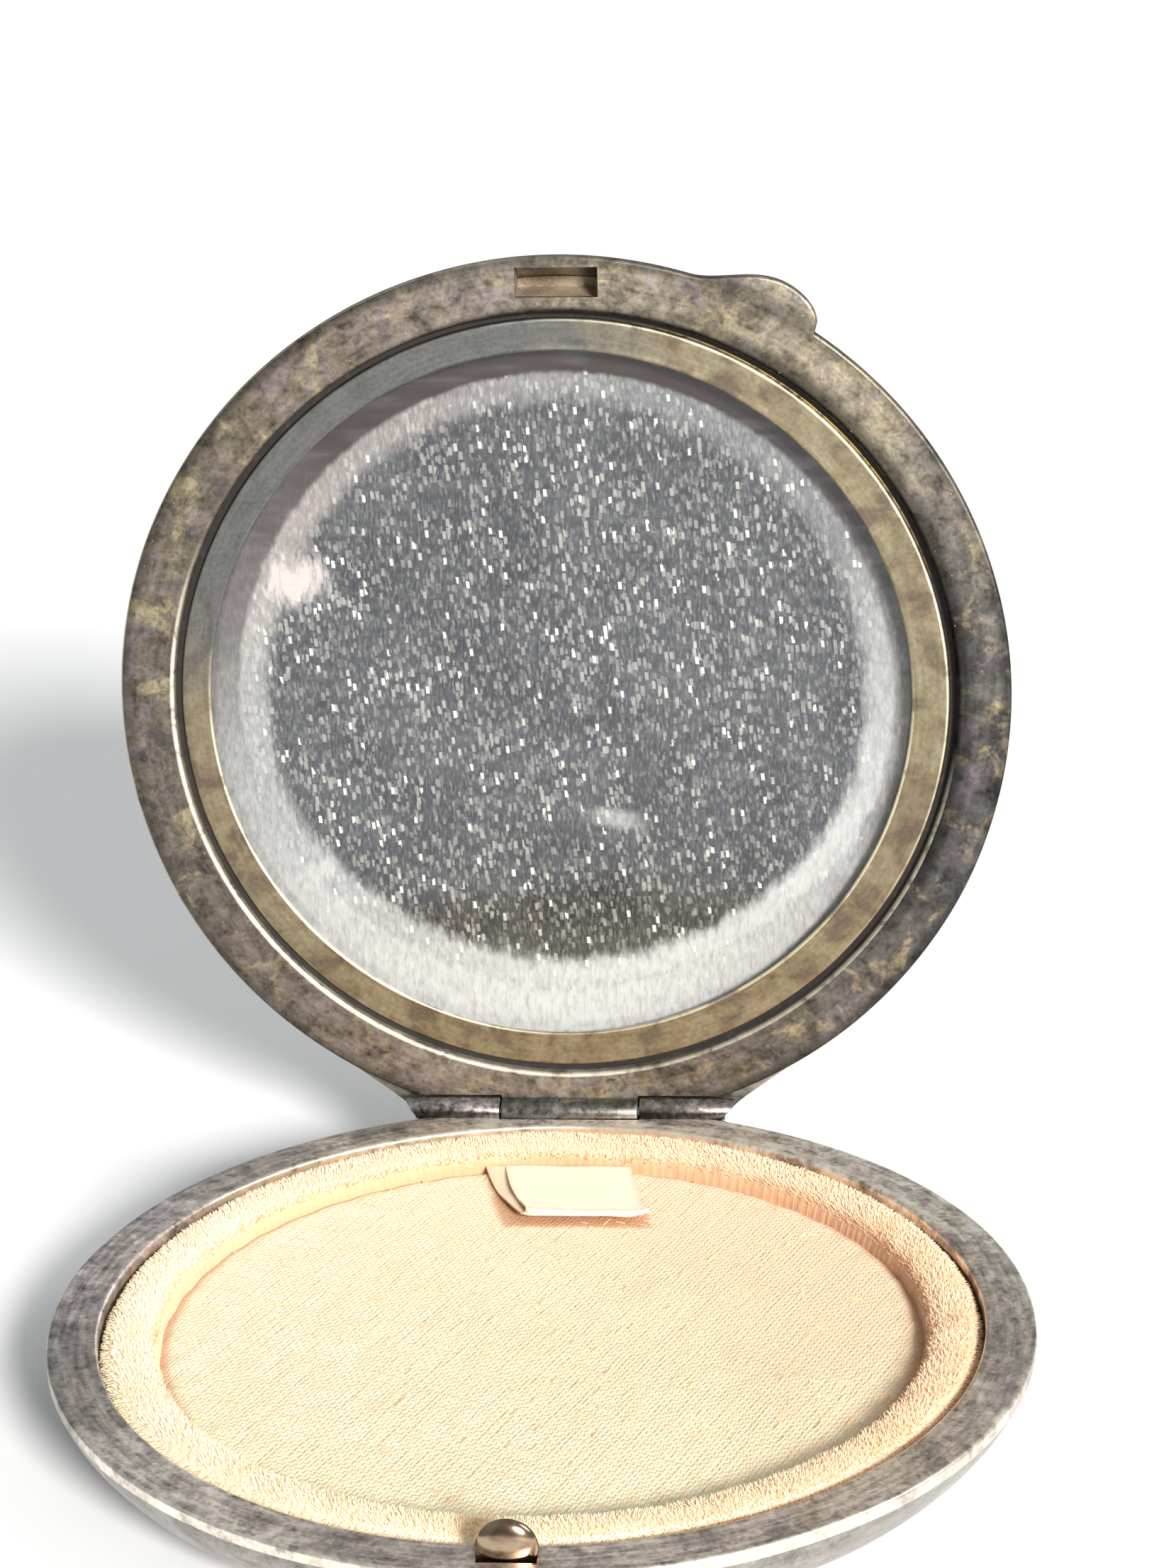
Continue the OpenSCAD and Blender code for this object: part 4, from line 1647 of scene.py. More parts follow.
        # The rims' bright lines are painted highlights on their rounded edges, with some real wear; the lid
        # rim's dark bands are painted shade along its edges and next to the frame.
        base_rim = TarnishedSilver(
            "base_rim_silver", Half.BASE, BASE_RIM_TONES, dark=(0.12, 0.10, 0.095),
            olive=(0.50, 0.45, 0.33), violet=(0.27, 0.23, 0.26), dark_share=0.62,
            olive_share=0.45, violet_share=0.6, polish=0.38, patch=0.24, mottle=2.5, streak=1.9,
            lines=((inner_base + 0.1, 0.22, -165, 50, 0.8), (inner_base + 0.1, 0.2, 20, 60, 0.35),
                   (PLACE.radius - 0.06, 0.16, 10, 75, 0.5), (PLACE.radius - 0.06, 0.16, 180, 60, 0.3)))
        lid_rim = TarnishedSilver(
            "lid_rim_silver", Half.LID, LID_RIM_TONES,
            lines=((inner_lid + 0.12, 0.24, -135, 75, 1.0), (inner_lid + 0.1, 0.2, 140, 45, 0.6),
                   (PLACE.radius - 0.04, 0.12, -60, 80, 0.35)),
            painted_shade_bands=((inner_lid + 0.2, 1.4, 72, 66, 0.7), (inner_lid, 0.5, 60, 90, 0.9),
                    (PLACE.radius, 1.0, 60, 130, 0.5),
                    (PLACE.radius, 1.3, -120, 120, 0.4)))
        pieces = [
            ("base_dish", self.base_pan(), outside_finish("base_silver", Half.BASE),
             "base", "case_silver", "base_pan"),
            ("lid_dish", self.lid_shell(), outside_finish("lid_silver", Half.LID),
             "lid", "case_silver", "lid_shell"),
            ("base_seating", self.rim(Half.BASE), base_rim.material(),
             "base", "base_rim_silver", "base_rim"),
            ("lid_seating", self.rim(Half.LID), lid_rim.material(),
             "lid", "lid_rim_silver", "lid_rim", "thumb_piece"),
        ]
        for name, piece, finish, body, slot, *nodes in pieces:
            piece.name = name
            dress(piece, finish, body, slot, *nodes)


@dataclass
class Hinge:
    """The two bearers, the three knuckles and the pin."""

    edge: float = 0.14
    knuckle_r: float = 1.05
    inner_x: float = 4.85
    top_x: float = 11.5
    low_x: float = 9.8

    def knuckle(self, side: int) -> Obj:
        """Builds one of the base's knuckles, cut on the slant at its outer end.

        Args:
            side: -1 for the left one, 1 for the right one.

        Returns:
            The knuckle.
        """
        ends = sorted((side * self.inner_x, side * (self.top_x + 1)))
        round_bar = placed(bar(ends[0], ends[1], self.knuckle_r),
                           Matrix.Translation((0, 0, PLACE.seam * MM)))
        slope = math.atan2(self.top_x - self.low_x, 2 * self.knuckle_r)
        middle = Vector((side * (self.top_x + self.low_x) / 2, PLACE.hinge_y, PLACE.seam)) * MM
        low, high = sorted((0.0, side * 6.0))
        wedge = placed(block((low, -4, -6), (high, 4, 6)),
                       Matrix.Translation(middle) @ Matrix.Rotation(side * slope, 4, "Y"))
        cut_by(round_bar, [wedge])
        ease = round_bar.modifiers.new("ease", "BEVEL")
        ease.width, ease.segments, ease.limit_method = self.edge * MM * 0.6, 2, "ANGLE"
        ease.angle_limit = math.radians(40)
        return smooth(applied(round_bar))

    def build(self) -> None:
        """Builds and dresses the hinge."""
        barrels = []
        for name, side in (("left", -1), ("right", 1)):
            barrel = self.knuckle(side)
            barrel.name = f"knuckle_{name}"
            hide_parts(f"base_knuckle_{name}")
            barrels.append(barrel)
        # Painted shade: the base knuckles are darkened on their lower half.
        base = TarnishedSilver(
            "base_hinge_silver", Half.BASE, HINGE_TONES, dark=(0.09, 0.05, 0.045),
            olive=(0.62, 0.58, 0.54), olive_share=0.6, patch=0.5, polish=0.26,
            shade_below=0.8).material()
        lid = TarnishedSilver(
            "lid_hinge_silver", Half.LID, LID_HINGE_TONES, dark=(0.07, 0.06, 0.055),
            violet=(0.19, 0.22, 0.22), patch=0.4, polish=0.32).material()
        pin = PlainMetal("pin_metal", Half.BASE, (0.66, 0.60, 0.50), (0.34, 0.27, 0.20)).material()
        for barrel in barrels:
            dress(barrel, base, "base", "hinge_silver")
        base_bearer = outside_finish("base_bearer_silver", Half.BASE)
        lid_bearer = outside_finish("lid_bearer_silver", Half.LID)
        for node, body, finish in (
            ("base_bearer", "base", base_bearer), ("lid_bearer", "lid", lid_bearer),
            ("lid_knuckle", "lid", lid),
        ):
            dress(eased_copy(node, f"{node}_worn", self.edge), finish, body, "hinge_silver")
        dress(eased_copy("hinge_pin", "pin_drawn", 0.08), pin, "base", "hinge_pin_metal")


@dataclass
class Catch:
    """The half bead on its spring, and the lid's pocket for it."""

    bead_r: float = 1.74
    bead_t: float = 1.3
    bead_up: float = 0.3
    bead_y: float = -28.0
    foot_z: float = 6.57
    fullness: float = 0.52
    tang_half: float = 1.5
    tang_low: float = 4.62
    tang_in: float = 28.02
    tang_out: float = 28.4

    def bead(self) -> Obj:
        """Builds the upright half bead with its tang.

        Returns:
            The bead.
        """
        half = self.bead_t / 2
        shares = np.sin(np.linspace(0, math.pi / 2, 22))
        side = [(self.bead_r * s, half * (1 - s ** 2) ** self.fullness) for s in shares]
        section = side + [(r, -t) for r, t in reversed(side[:-1])]
        lens = lathe("bead", section, 128, ring=False)
        placed(lens, Matrix.Translation(Vector((0, self.bead_y, self.foot_z + self.bead_up)) * MM)
               @ Matrix.Rotation(math.radians(90), 4, "X"))
        low = self.foot_z
        cut_by(lens, [block((-5, -35, low - 6), (5, -20, low))])
        tang = block((-self.tang_half, -self.tang_out, self.tang_low),
                     (self.tang_half, -self.tang_in, low + 0.2))
        union = lens.modifiers.new("tang", "BOOLEAN")
        union.operation, union.solver, union.object = "UNION", "EXACT", tang
        applied(lens)
        bpy.data.objects.remove(tang)
        return smooth(lens, 40)

    def build(self) -> None:
        """Builds and dresses the catch."""
        bead = PlainMetal("bead_metal", Half.BASE, (0.44, 0.33, 0.22), (0.17, 0.09, 0.065),
                          polish=0.09, grain=1.3).material()
        spring = PlainMetal("spring_metal", Half.BASE, (0.60, 0.57, 0.52), (0.36, 0.31, 0.25),
                            polish=0.25).material()
        pocket = Powdery("pocket_tarnish", Half.LID, (0.36, 0.27, 0.18), (0.10, 0.07, 0.045),
                         2.0, 0.02).material()
        piece = self.bead()
        piece.name = "half_bead"
        dress(piece, bead, "catch", "bead_metal", "catch_bead")
        dress(eased_copy("catch_spring", "bead_spring", 0.05), spring, "catch", "spring_metal")
        dress(eased_copy("catch_pegs", "spring_pegs", 0.04), spring, "base", "spring_metal")
        dress(eased_copy("catch_pocket", "bead_pocket", 0.05), pocket, "lid", "pocket_silver")


# ---- Mirror ----


@dataclass
class Mirror:
    """The round glass with its silver coat and card, held in a seat by a thin gilt frame."""

    segments: int = 320
    frame_r: float = 25.9
    view_r: float = 23.65
    shift: Point2 = (-0.28, -0.1)
    face: float = 0.5
    sheet: float = 0.3
    skirt: float = 1.7
    glass_r: float = 25.4
    glass_t: float = 1.05
    coat_t: float = 0.06
    card_t: float = 0.5
    seat_in: float = 25.95
    seat_out: float = 26.3
    seat_low: float = 0.8
    seat_t: float = 0.3
    seat_h: float = 1.5
    flange: float = 26.9
    slack: float = 0.02
    coat_gap: float = 0.03

    def gilt_frame(self) -> Obj:
        """Builds the frame: a flat ring round an opening set off centre, and its turned skirt.

        Returns:
            The frame.
        """
        low, high, edge = self.face, self.face + self.sheet, self.sheet / 2
        inside = arc((self.view_r + edge, low + edge), edge, 90, 270, 10)
        outside = arc((self.frame_r - edge, low + edge), edge, 270, 360, 8)
        flat = run((self.view_r + 2 * edge, low + 0.02), (self.frame_r - 2 * edge, low), 5)
        back = [(self.frame_r, low + self.skirt), (self.frame_r - self.sheet, low + self.skirt),
                (self.frame_r - self.sheet, high)]
        section = inside + flat + outside + back
        shifts = [self.shift] * len(inside) + [(0.0, 0.0)] * (len(section) - len(inside))
        ring = lathe("gilt_frame", section, self.segments, ring=True, shifts=shifts)
        return smooth(placed(dented(ring, 0.02, 4, 2.0), PLACE.above_seam()))

    def disc(self, name: str, radius: float, low: float, high: float, edge: float) -> Obj:
        """Builds a flat disc with eased edges, as it lies in the lid.

        Args:
            name: its name.
            radius: its radius.
            low: its front's height from the seam.
            high: its back's height.
            edge: the width of its eased edges.

        Returns:
            The disc.
        """
        section = [(0.0, low)] + run((radius * 0.3, low), (radius - edge, low), 3)
        section += [(radius - edge, low), (radius, low + edge), (radius, high - edge),
                    (radius - edge, high)]
        section += run((radius * 0.9, high), (radius * 0.2, high), 3) + [(0.0, high)]
        disc = lathe(name, section, self.segments, ring=False)
        return smooth(placed(disc, PLACE.above_seam()), 30)

    def seat(self) -> Obj:
        """Builds the seat: a short tube with a flange under the rim.

        Returns:
            The seat.
        """
        low, under, top = self.seat_low, self.seat_low + self.seat_t, self.seat_low + self.seat_h
        section = [(self.seat_in, low), (self.seat_in + 0.06, low), (self.flange, low + 0.01),
                   (self.flange, under), (self.seat_out, under), (self.seat_out, top),
                   (self.seat_in, top)]
        ring = lathe("mirror_bezel_seat", section, self.segments, ring=True)
        return smooth(placed(ring, PLACE.above_seam()))

    def build(self) -> None:
        """Builds and dresses the mirror."""
        glass_low = self.face + self.sheet + self.slack
        coat = glass_low + self.glass_t
        dress(self.gilt_frame(), Gilding("mirror_gilding").material(), "lid", "frame_gilt",
              "mirror_frame")
        dress(self.seat(), ShadedSeat().material(), "lid", "mirror_seat_gilt", "mirror_seat")
        pane = self.disc("mirror_glass_pane", self.glass_r, glass_low, coat - self.coat_gap, 0.12)
        dress(pane, ClearGlass().material(), "lid", "mirror_glass", "mirror_glass")
        silver = self.disc("mirror_silver_coat", self.glass_r, coat, coat + self.coat_t, 0.01)
        dress(silver, AgedSilvering().material(), "lid", "mirror_silver", "mirror_silvering")
        card = self.disc("mirror_backing", self.glass_r - 0.1, coat + self.coat_t,
                         coat + self.coat_t + self.card_t, 0.05)
        brown = Powdery("brown_card", Half.LID, (0.23, 0.15, 0.09), (0.12, 0.075, 0.045), 1.2, 0.03)
        dress(card, brown.material(), "lid", "mirror_card", "mirror_card")


# ---- Powder and puff ----


SLUB_THREAD = Powdery("slub_thread", Half.BASE, (0.88, 0.62, 0.38), (0.62, 0.36, 0.20), 1.1, 0.02)


@dataclass
class Powder:
    """The gilt well and the powder pressed in it, both under the puff."""

    segments: int = 256
    gap: float = 1.0
    wall: float = 0.25
    well_r: float = 26.95
    puff_r: float = 26.74
    powder_h: float = 2.6
    powder_dip: float = 0.12

    def build(self, case: Case) -> None:
        """Builds and dresses the well and the powder.

        Args:
            case: the case, whose dish they follow.
        """
        top = PLACE.seam - case.rim_t
        big = case.arc_r()

        def dish(inset: float, radius: float) -> list[Point2]:
            """Draws the dish's arc from its flat out to a radius.

            Args:
                inset: how far inside the dish.
                radius: the radius.

            Returns:
                Its points.
            """
            own = big - inset
            end = math.degrees(math.acos((radius - case.foot_r) / own))
            return arc((case.foot_r, big), own, -90, -end, 18)

        low, high = self.gap, self.gap + self.wall
        outer = self.well_r + self.wall
        section = [(0.0, low)] + run((6, low), (case.foot_r, low), 3) + dish(low, outer)
        section += [(outer, top - self.wall), (outer + 0.2, top - self.wall), (outer + 0.2, top - 0.01),
                    (self.well_r, top - 0.01)]
        section += list(reversed(dish(high, self.well_r)))
        section += run((case.foot_r - 0.01, high), (4, high), 3) + [(0.0, high)]
        well = smooth(lathe("gilt_well", section, self.segments, ring=False))
        gold = Gilding("well_gilding", Half.BASE, grey_centre=400.0, grey_reach=40.0)
        dress(well, gold.material(), "base", "gilt", "powder_well")
        low = high + 0.02
        section = [(0.0, low)] + run((6, low), (case.foot_r, low), 3)
        section += [p for p in dish(low, self.puff_r) if p[1] < self.powder_h - 0.1]
        edge = section[-1][0]
        section += [(edge + 0.1, self.powder_h - 0.02), (edge - 0.4, self.powder_h)]
        section += [(edge * s, self.powder_h - self.powder_dip * (1 - s)) for s in np.linspace(0.9, 0.05, 16)]
        section += [(0.0, self.powder_h - self.powder_dip)]
        cake = smooth(dented(lathe("powder_cake_pressed", section, self.segments, ring=False),
                             0.08, 6, 1.0), 60)
        tone = Powdery("face_powder", Half.BASE, (0.80, 0.56, 0.42), (0.66, 0.42, 0.30), 1.4, 0.05)
        dress(cake, tone.material(), "base", "pressed_powder", "powder_cake")


@dataclass
class Puff:
    """The velour puff: a rolled pile border, a woven disc over wadding, and a ribbon tab."""

    segments: int = 256
    border_r: float = 25.05
    border_z: float = 4.95
    roll: float = 1.36
    stretch: float = 1.21
    square: float = 0.62
    floor_z: float = 2.74
    cup_z: float = 3.66
    disc_r: float = 23.2
    disc_z: float = 5.1
    crown: float = 0.22
    ribbon_w: float = 8.0
    ribbon_back: float = 22.7
    ribbon_front: float = 14.2
    ribbon_slant: float = 2.0
    pile_l: float = 0.27
    gathers: int = 47
    sewn_r: float = 23.7
    pile_r: float = 23.55
    lean_r: float = 26.1
    held_r: float = 26.2
    hem: float = 0.25
    wad_low: float = 3.7
    wad_high: float = 4.8
    wad_r: float = 22.6
    wad_edge: float = 0.55

    def border_section(self) -> list[Point2]:
        """Draws the cup's half section: a pile floor turned up into a rolled border.

        Returns:
            Its points.
        """
        wide, tall = self.roll * self.stretch, self.roll
        roll = [(self.border_r + wide * math.copysign(abs(math.cos(t)) ** self.square, math.cos(t)),
                 self.border_z + tall * math.copysign(abs(math.sin(t)) ** self.square, math.sin(t)))
                for t in np.radians(np.linspace(-68, 236, 40))]
        under = [(0.0, self.floor_z), (8.0, self.floor_z), (16.0, self.floor_z),
                 (22.0, self.floor_z), (24.4, self.floor_z + 0.12)]
        over = [(23.0, self.cup_z + 0.02), (16.0, self.cup_z), (8.0, self.cup_z), (0.0, self.cup_z)]
        return under + roll + over

    def velour(self) -> Obj:
        """Builds the cup, swells it as stuffed cloth and marks out its pile.

        Returns:
            The cup.
        """
        cup = lathe("velour_cup", self.border_section(), self.segments, ring=False)
        self.gather(cup)
        self.swell(cup)
        smooth(cup, 180)
        self.comb(cup)
        return cup

    def gather(self, cup: Obj) -> None:
        """Pulls the border in where its gathering thread catches it, unevenly, as by hand.

        Args:
            cup: the cup.
        """
        for vertex in cup.data.vertices:
            spot = vertex.co / MM
            turn = math.atan2(spot.y, spot.x)
            radius = math.hypot(spot.x, spot.y)
            near = max(0.0, 1 - abs(radius - self.sewn_r) / 1.2)
            wander = 3 * noise.noise((math.cos(turn) * 3, math.sin(turn) * 3, 0))
            ripple = math.sin(turn * self.gathers + wander)
            lift = noise.noise(spot / 6.0) * 0.09 + ripple * 0.05 * near
            if spot.z > self.border_z - 0.4 and radius > 22.5:
                vertex.co.z += lift * MM
        cup.data.update()

    def swell(self, cup: Obj) -> None:
        """Blows the cup up as cloth, twenty times larger than it is, and caps its moves.

        Args:
            cup: the cup.
        """
        big, voxel, cap, frames = 20.0, 0.62, 0.22, 16
        cup.data.transform(Matrix.Scale(big, 4))
        remesh = cup.modifiers.new("remesh", "REMESH")
        remesh.mode = "VOXEL"
        remesh.voxel_size = voxel * MM * big
        applied(cup)
        mesh = cup.data
        before = np.array([v.co for v in mesh.vertices])
        radius = np.hypot(before[:, 0], before[:, 1]) / (MM * big)
        height = before[:, 2] / (MM * big)
        pins = cup.vertex_groups.new(name="pins")
        held = (height < self.cup_z + 0.35) | (radius < self.disc_r) | (radius > self.held_r)
        pins.add(np.nonzero(held)[0].tolist(), 1.0, "REPLACE")
        cloth = cup.modifiers.new("stuffing", "CLOTH")
        cloth.settings.quality = 5
        cloth.settings.mass = 0.2
        cloth.settings.use_pressure = True
        cloth.settings.uniform_pressure_force = 4.0
        cloth.settings.vertex_group_mass = "pins"
        cloth.settings.effector_weights.gravity = 0.0
        cloth.point_cache.frame_start = 1
        cloth.point_cache.frame_end = frames
        for step in range(1, frames + 1):
            bpy.context.scene.frame_set(step)
        applied(cup)
        bpy.context.scene.frame_set(1)
        mesh = cup.data
        moves = np.array([v.co for v in mesh.vertices]) - before
        length = np.linalg.norm(moves, axis=1, keepdims=True)
        limit = cap * MM * big
        moves *= np.minimum(1.0, limit / np.maximum(length, 1e-9))
        mesh.vertices.foreach_set("co", ((before + moves) / big).ravel())
        mesh.update()
        soften = cup.modifiers.new("soften", "SUBSURF")
        soften.levels = soften.render_levels = 1
        applied(cup)

    def comb(self, cup: Obj) -> None:
        """Stores how thickly the pile stands at each point, and which way it leans.

        Args:
            cup: the cup.
        """
        mesh = cup.data
        pile = mesh.attributes.new("pile", "FLOAT", "POINT")
        comb = mesh.attributes.new("comb", "FLOAT_VECTOR", "POINT")
        for i, vertex in enumerate(mesh.vertices):
            spot = vertex.co / MM
            radius = max(1e-3, math.hypot(spot.x, spot.y))
            out = Vector((spot.x, spot.y, 0)) / radius
            side = Vector((-out.y, out.x, 0))
            shown = radius > self.pile_r and spot.z > self.border_z + 0.2
            pile.data[i].value = 1.0 if shown else 0.0
            sway = noise.noise(spot / 2.2) * 0.7
            lean = vertex.normal * 0.8 + out * 0.25 + side * sway + Vector((0, 0, 0.15))
            if radius > self.lean_r:
                lean = out + side * sway * 0.5 + Vector((0, 0, 0.1))
            comb.data[i].vector = lean.normalized()

    def pile(self, cup: Obj, finish: Material) -> Obj:
        """Grows the pile on the border's shown side.

        Args:
            cup: the cup.
            finish: the pile's material.

        Returns:
            The pile.
        """
        tufts = new_piece("velour_pile", cup.data.copy())
        sizes = {"Tufts Per Square Metre": 4.9e7, "Length": self.pile_l * MM,
                 "Thickness": 0.042 * MM, "Stray": 0.3, "Seed": 7}
        return pile_tree(finish).grow(tufts, sizes)

    def disc(self) -> Obj:
        """Builds the woven disc: crowned over its wadding, and puckered where it is sewn in.

        Returns:
            The disc, not yet thickened.
        """
        rings, turns, tuck = 46, self.segments, 0.035
        points, faces = [], []
        for i in range(1, rings + 1):
            share = i / rings
            radius = (self.disc_r + self.hem) * share
            for j in range(turns):
                turn = math.tau * j / turns
                x, y = radius * math.cos(turn), radius * math.sin(turn)
                sag = self.crown * (1 - share ** 2) - 0.42 * max(0.0, share - 0.965) / tuck
                pucker = math.sin(turn * self.gathers) * 0.045 * max(0.0, share - 0.86) / 0.14
                soft = noise.noise((x / 7, y / 7, 2.0)) * 0.07 * (1 - share ** 6)
                points.append((x, y, self.disc_z + sag + pucker + soft))
        points.append((0, 0, self.disc_z + self.crown))
        for j in range(turns):
            k = (j + 1) % turns
            faces.append((len(points) - 1, j, k))
            for i in range(rings - 1):
                a, b = i * turns, (i + 1) * turns
                faces.append((a + j, b + j, b + k, a + k))
        cloth = new_piece("woven_disc", mesh_of("woven_disc", np.array(points), faces))
        face_outwards(cloth.data)
        if cloth.data.polygons[0].normal.z < 0:
            cloth.data.flip_normals()
        cover = cloth.data.attributes.new("pile", "FLOAT", "POINT")
        for i, vertex in enumerate(cloth.data.vertices):
            spot = vertex.co / MM
            free = math.hypot(spot.x, spot.y) < self.disc_r - 0.7
            cover.data[i].value = 1.0 if free else 0.0
        return smooth(cloth, 180)

    def slubs(self, cloth: Obj, finish: Material) -> Obj:
        """Lays the thick places of the woven thread on the disc.

        Args:
            cloth: the disc.
            finish: the thread's material.

        Returns:
            The slubs.
        """
        bits = new_piece("disc_slubs", cloth.data.copy())
        sizes = {"Slubs Per Square Metre": 3.4e5, "Length": 1.3 * MM, "Thickness": 0.055 * MM,
                 "Thread Turn": math.radians(-24.0), "Seed": 5}
        return smooth(slub_tree(finish).grow(bits, sizes), 60)

    def ribbon_path(self) -> list[Point2]:
        """Draws the doubled ribbon's run: up and forward off the disc, round a fold, and back.

        Returns:
            Its (y, z) points.
        """
        root, lift, bend = self.disc_z + 0.2, 0.5, 0.15
        back, front = self.ribbon_back, self.ribbon_front + 0.17
        there = np.linspace(0, 1, 22)
        path = [(back + (front - back) * s, root + lift * s ** 1.6) for s in there]
        path += [(front - bend * math.sin(t), root + lift + bend - bend * math.cos(t))
                 for t in np.linspace(0.2, math.pi - 0.2, 12)]
        path += [(back + (front - back) * s,
                  root + lift * s ** 1.6 + 2 * bend * math.sqrt(s) + 0.08 * math.sin(math.pi * s))
                 for s in reversed(there)]
        return path

    def ribbon(self) -> Obj:
        """Builds the ribbon tab with its own UV map, across and along.

        Returns:
            The tab.
        """
        path, across = self.ribbon_path(), 28
        points, faces, marks = [], [], []
        long = np.cumsum([0] + [math.dist(a, b) for a, b in zip(path, path[1:])])
        for i, (y, z) in enumerate(path):
            share = (self.ribbon_back - y) / (self.ribbon_back - self.ribbon_front)
            over = i / len(path)
            for j in range(across + 1):
                u = j / across
                x = (u - 0.5) * self.ribbon_w + self.ribbon_slant * share
                x -= (0.35 + 1.0 * (1 - share) ** 0.8) if over < 0.48 else 0.0
                x += 0.35 * noise.noise((u * 3, y / 1.1, over)) * u + 0.5 * u * (1 - share) ** 3
                x -= 0.3 * (1 - u) * math.sin(math.pi * min(1.0, max(0.0, share)))
                corner = max(0.0, abs(2 * u - 1) - 0.75) / 0.25
                y_at = y + (0.22 * noise.noise((u * 5, 2.0, 1.0)) + 0.4 * corner ** 2) * max(0.0, share)
                cup = -0.12 * (2 * u - 1) ** 2 * math.sin(math.pi * min(1.0, max(0.0, share)))
                wave = noise.noise((x / 2.6, y / 2.2, 4.0 + over * 3)) * 0.09
                points.append((x, y_at, z + cup + wave))
                marks.append((u, long[i] / long[-1]))
        wide = across + 1
        for i in range(len(path) - 1):
            for j in range(across):
                a = i * wide + j
                faces.append((a, a + 1, a + 1 + wide, a + wide))
        tab = new_piece("ribbon_tab", mesh_of("ribbon_tab", np.array(points), faces))
        uv = tab.data.uv_layers.new(name="ribbon")
        for loop in tab.data.loops:
            uv.data[loop.index].uv = marks[loop.vertex_index]
        wall = tab.modifiers.new("wall", "SOLIDIFY")
        wall.thickness, wall.offset = 0.13 * MM, 0.0
        return smooth(applied(tab), 60)

    def build(self) -> None:
        """Builds and dresses the puff."""
        velour = VelourPile("velour_ground", tufted=False).material()
        fibres = VelourPile("velour_fibres").material()
        cup = self.velour()
        tufts = self.pile(cup, fibres)
        dress(cup, velour, "base", "velour", "puff_velour")
        dress(tufts, fibres, "base", "velour")
        low, high, edge = self.wad_low, self.wad_high, self.wad_edge
        wad = lathe("wadding_pad", [(0.0, low)] + [(r, low) for r in (8, 16, 22)]
                    + arc((self.wad_r, low + edge), edge, -90, 90, 8)
                    + [(r, high) for r in (16, 8)] + [(0.0, high)], self.segments, ring=False)
        dented(wad, 0.06, 5, 6.0)
        cotton = Powdery("cotton_wadding", Half.BASE, (0.93, 0.88, 0.80), (0.80, 0.70, 0.58), 1.5, 0.1)
        dress(smooth(wad, 60), cotton.material(), "base", "wadding", "puff_wadding")
        cloth = self.disc()
        bits = self.slubs(cloth, SLUB_THREAD.material())
        wall = cloth.modifiers.new("wall", "SOLIDIFY")
        wall.thickness, wall.offset = 0.1 * MM, -1.0
        smooth(applied(cloth), 60)
        tab = (-0.7, self.ribbon_front, self.ribbon_back)
        weave = WovenCloth("disc_cloth", crease_r=self.disc_r, tab=tab).material()
        dress(cloth, weave, "base", "puff_cloth", "puff_disc")
        dress(bits, SLUB_THREAD.material(), "base", "puff_cloth")
        dress(self.ribbon(), RibbonSatin().material(), "base", "ribbon", "puff_ribbon")


# ---- Studio ----


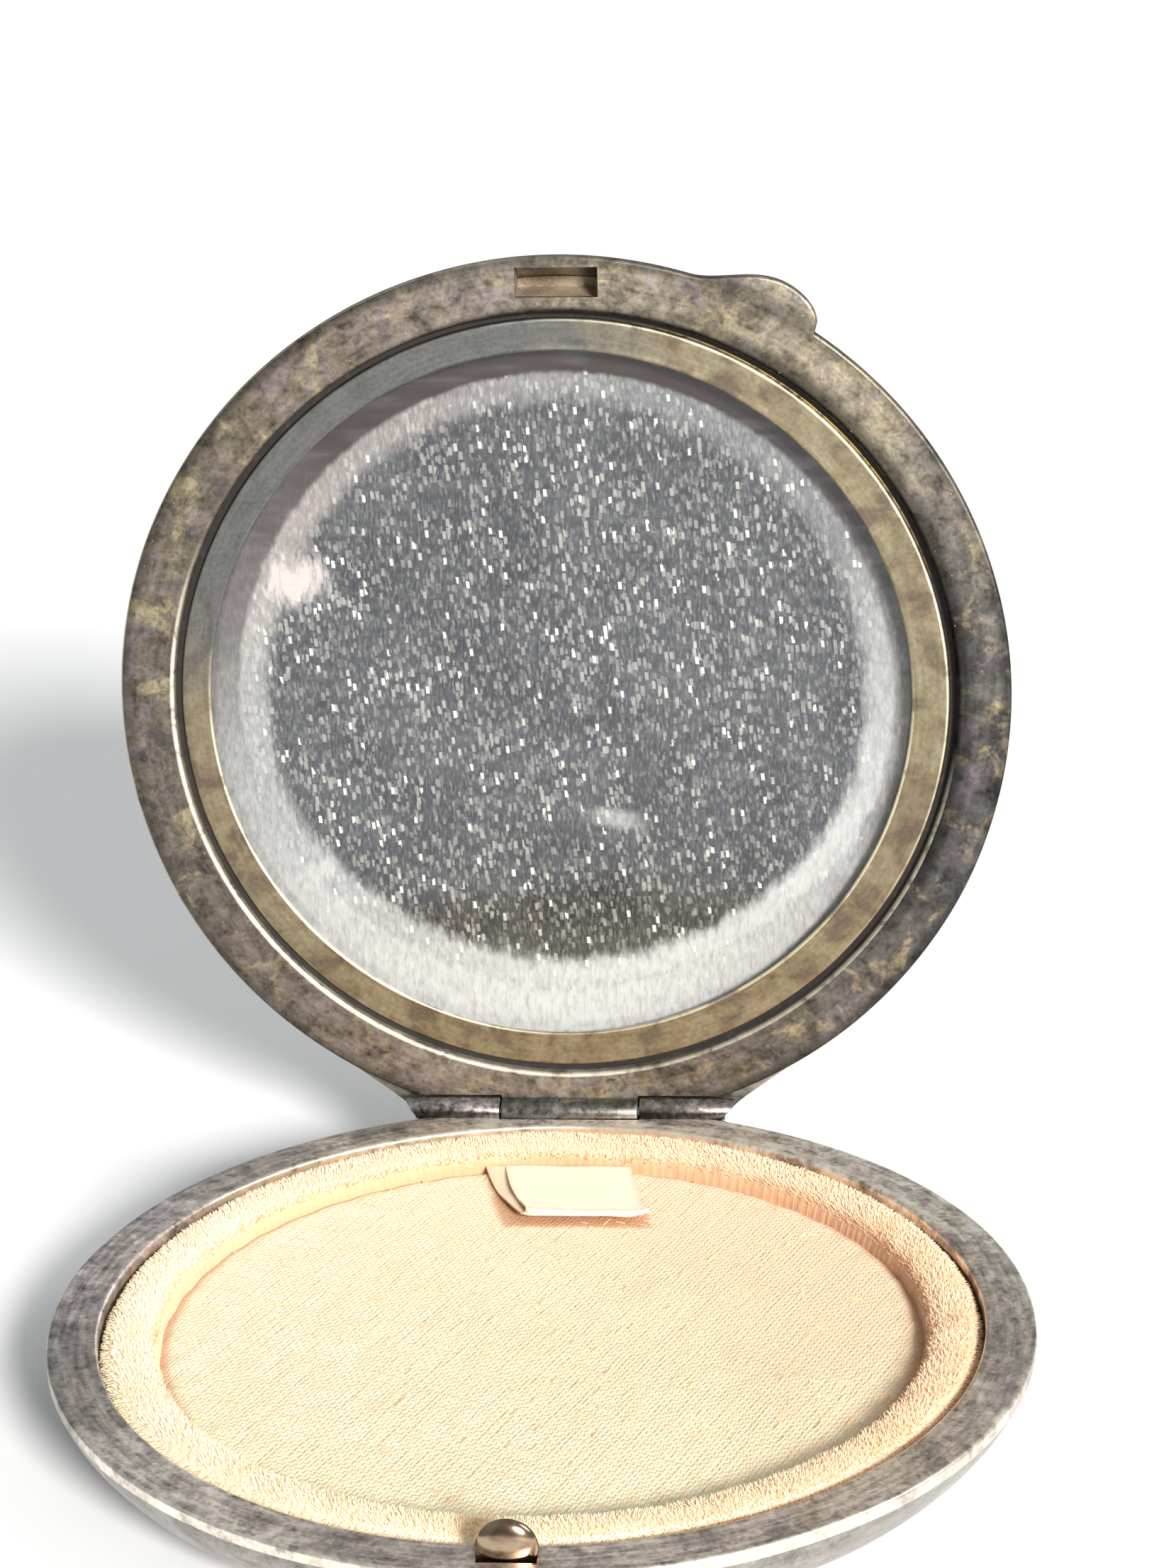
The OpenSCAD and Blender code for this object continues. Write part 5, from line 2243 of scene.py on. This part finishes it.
@dataclass
class Studio:
    """A pale floor, soft light from the front and the right, a pale room and the camera.

    place is the camera's, in millimetres, and yaw, pitch and roll its turns in degrees. A light's
    from is the direction that it comes from and its spread its width in degrees.
    """

    place: tuple[float, float, float] = (14.0, -179.0, 99.6)
    yaw: float = -3.39
    pitch: float = 18.32
    roll: float = -1.03
    lens: float = 74.98
    sky: float = 0.38
    key: float = 5.9
    key_from: tuple[float, float, float] = (0.42, -0.83, 0.39)
    side: float = 1.0
    key_spread: float = 14.0
    side_from: tuple[float, float, float] = (0.62, -0.05, 0.47)
    side_spread: float = 30.0
    lamp: Colour = (1.0, 0.985, 0.96)
    room_low: Colour = (0.53, 0.58, 0.62)
    room_high: Colour = (0.94, 0.985, 1.0)
    room_top: float = 0.62
    wall: Colour = (0.93, 0.94, 0.95)
    floor_half: float = 3.0

    def camera(self) -> None:
        """Makes the camera."""
        yaw, pitch, roll = (math.radians(a) for a in (self.yaw, self.pitch, self.roll))
        ahead = Vector((math.sin(yaw) * math.cos(pitch), math.cos(yaw) * math.cos(pitch),
                        -math.sin(pitch)))
        right = Vector((math.cos(yaw), -math.sin(yaw), 0))
        up = right.cross(ahead)
        side = right * math.cos(roll) + up * math.sin(roll)
        top = up * math.cos(roll) - right * math.sin(roll)
        lens = bpy.data.cameras.new("camera")
        lens.lens = self.lens
        lens.sensor_width = 36.0
        lens.clip_start = 0.01
        stand = bpy.data.objects.new("camera", lens)
        bpy.context.scene.collection.objects.link(stand)
        turned = Matrix((side, top, -ahead)).transposed().to_4x4()
        stand.matrix_world = Matrix.Translation(Vector(self.place) * MM) @ turned
        bpy.context.scene.camera = stand

    def floor(self) -> None:
        """Makes the floor."""
        work = bmesh.new()
        bmesh.ops.create_grid(work, x_segments=8, y_segments=8, size=self.floor_half)
        floor = from_work("studio_floor", work)
        floor.data.materials.append(StudioPaper().material())

    def sun(self, name: str, source: Sequence[float], power: float, spread: float) -> None:
        """Makes a wide soft light.

        Args:
            name: its name.
            source: the direction that it comes from.
            power: its strength.
            spread: its width in degrees, which softens its shadows.
        """
        light = bpy.data.lights.new(name, "SUN")
        light.energy, light.angle = power, math.radians(spread)
        light.color = self.lamp
        holder = bpy.data.objects.new(name, light)
        bpy.context.scene.collection.objects.link(holder)
        holder.rotation_mode = "QUATERNION"
        holder.rotation_quaternion = (-Vector(source)).to_track_quat("-Z", "Y")

    def build(self) -> None:
        """Makes the camera, the floor, the two lights and the room."""
        self.camera()
        self.floor()
        self.sun("key_light", self.key_from, self.key, self.key_spread)
        self.sun("side_light", self.side_from, self.side, self.side_spread)
        self.room()
        bpy.context.scene.view_settings.view_transform = "Standard"

    def room(self) -> None:
        """Makes the soft room that lights the compact, brighter above, with a pale wall behind."""
        world = bpy.data.worlds.new("soft_room")
        world.use_nodes = True
        tree = world.node_tree
        place = tree.nodes.new("ShaderNodeTexCoord")
        parts = tree.nodes.new("ShaderNodeSeparateXYZ")
        fade = tree.nodes.new("ShaderNodeValToRGB")
        tree.links.new(place.outputs["Generated"], parts.inputs[0])
        tree.links.new(parts.outputs[2], fade.inputs[0])
        stops = ((0.0, self.room_low), (self.room_top, self.room_high))
        for element, (height, colour) in zip(fade.color_ramp.elements, stops):
            element.position = height
            element.color = (*colour, 1.0)
        back = tree.nodes["Background"]
        tree.links.new(fade.outputs[0], back.inputs["Color"])
        back.inputs["Strength"].default_value = self.sky
        wall = tree.nodes.new("ShaderNodeBackground")
        wall.inputs["Color"].default_value = (*self.wall, 1.0)
        path = tree.nodes.new("ShaderNodeLightPath")
        seen = tree.nodes.new("ShaderNodeMixShader")
        tree.links.new(path.outputs["Is Camera Ray"], seen.inputs[0])
        tree.links.new(back.outputs[0], seen.inputs[1])
        tree.links.new(wall.outputs[0], seen.inputs[2])
        tree.links.new(seen.outputs[0], tree.nodes["World Output"].inputs["Surface"])
        bpy.context.scene.world = world


def main() -> None:
    """Builds the studio and the compact."""
    logging.basicConfig(level=logging.INFO, format="%(name)s: %(message)s")
    Studio().build()
    case = Case()
    case.build()
    Hinge().build()
    Catch().build()
    Mirror().build()
    Powder().build(case)
    Puff().build()


if __name__ == "__main__":
    main()
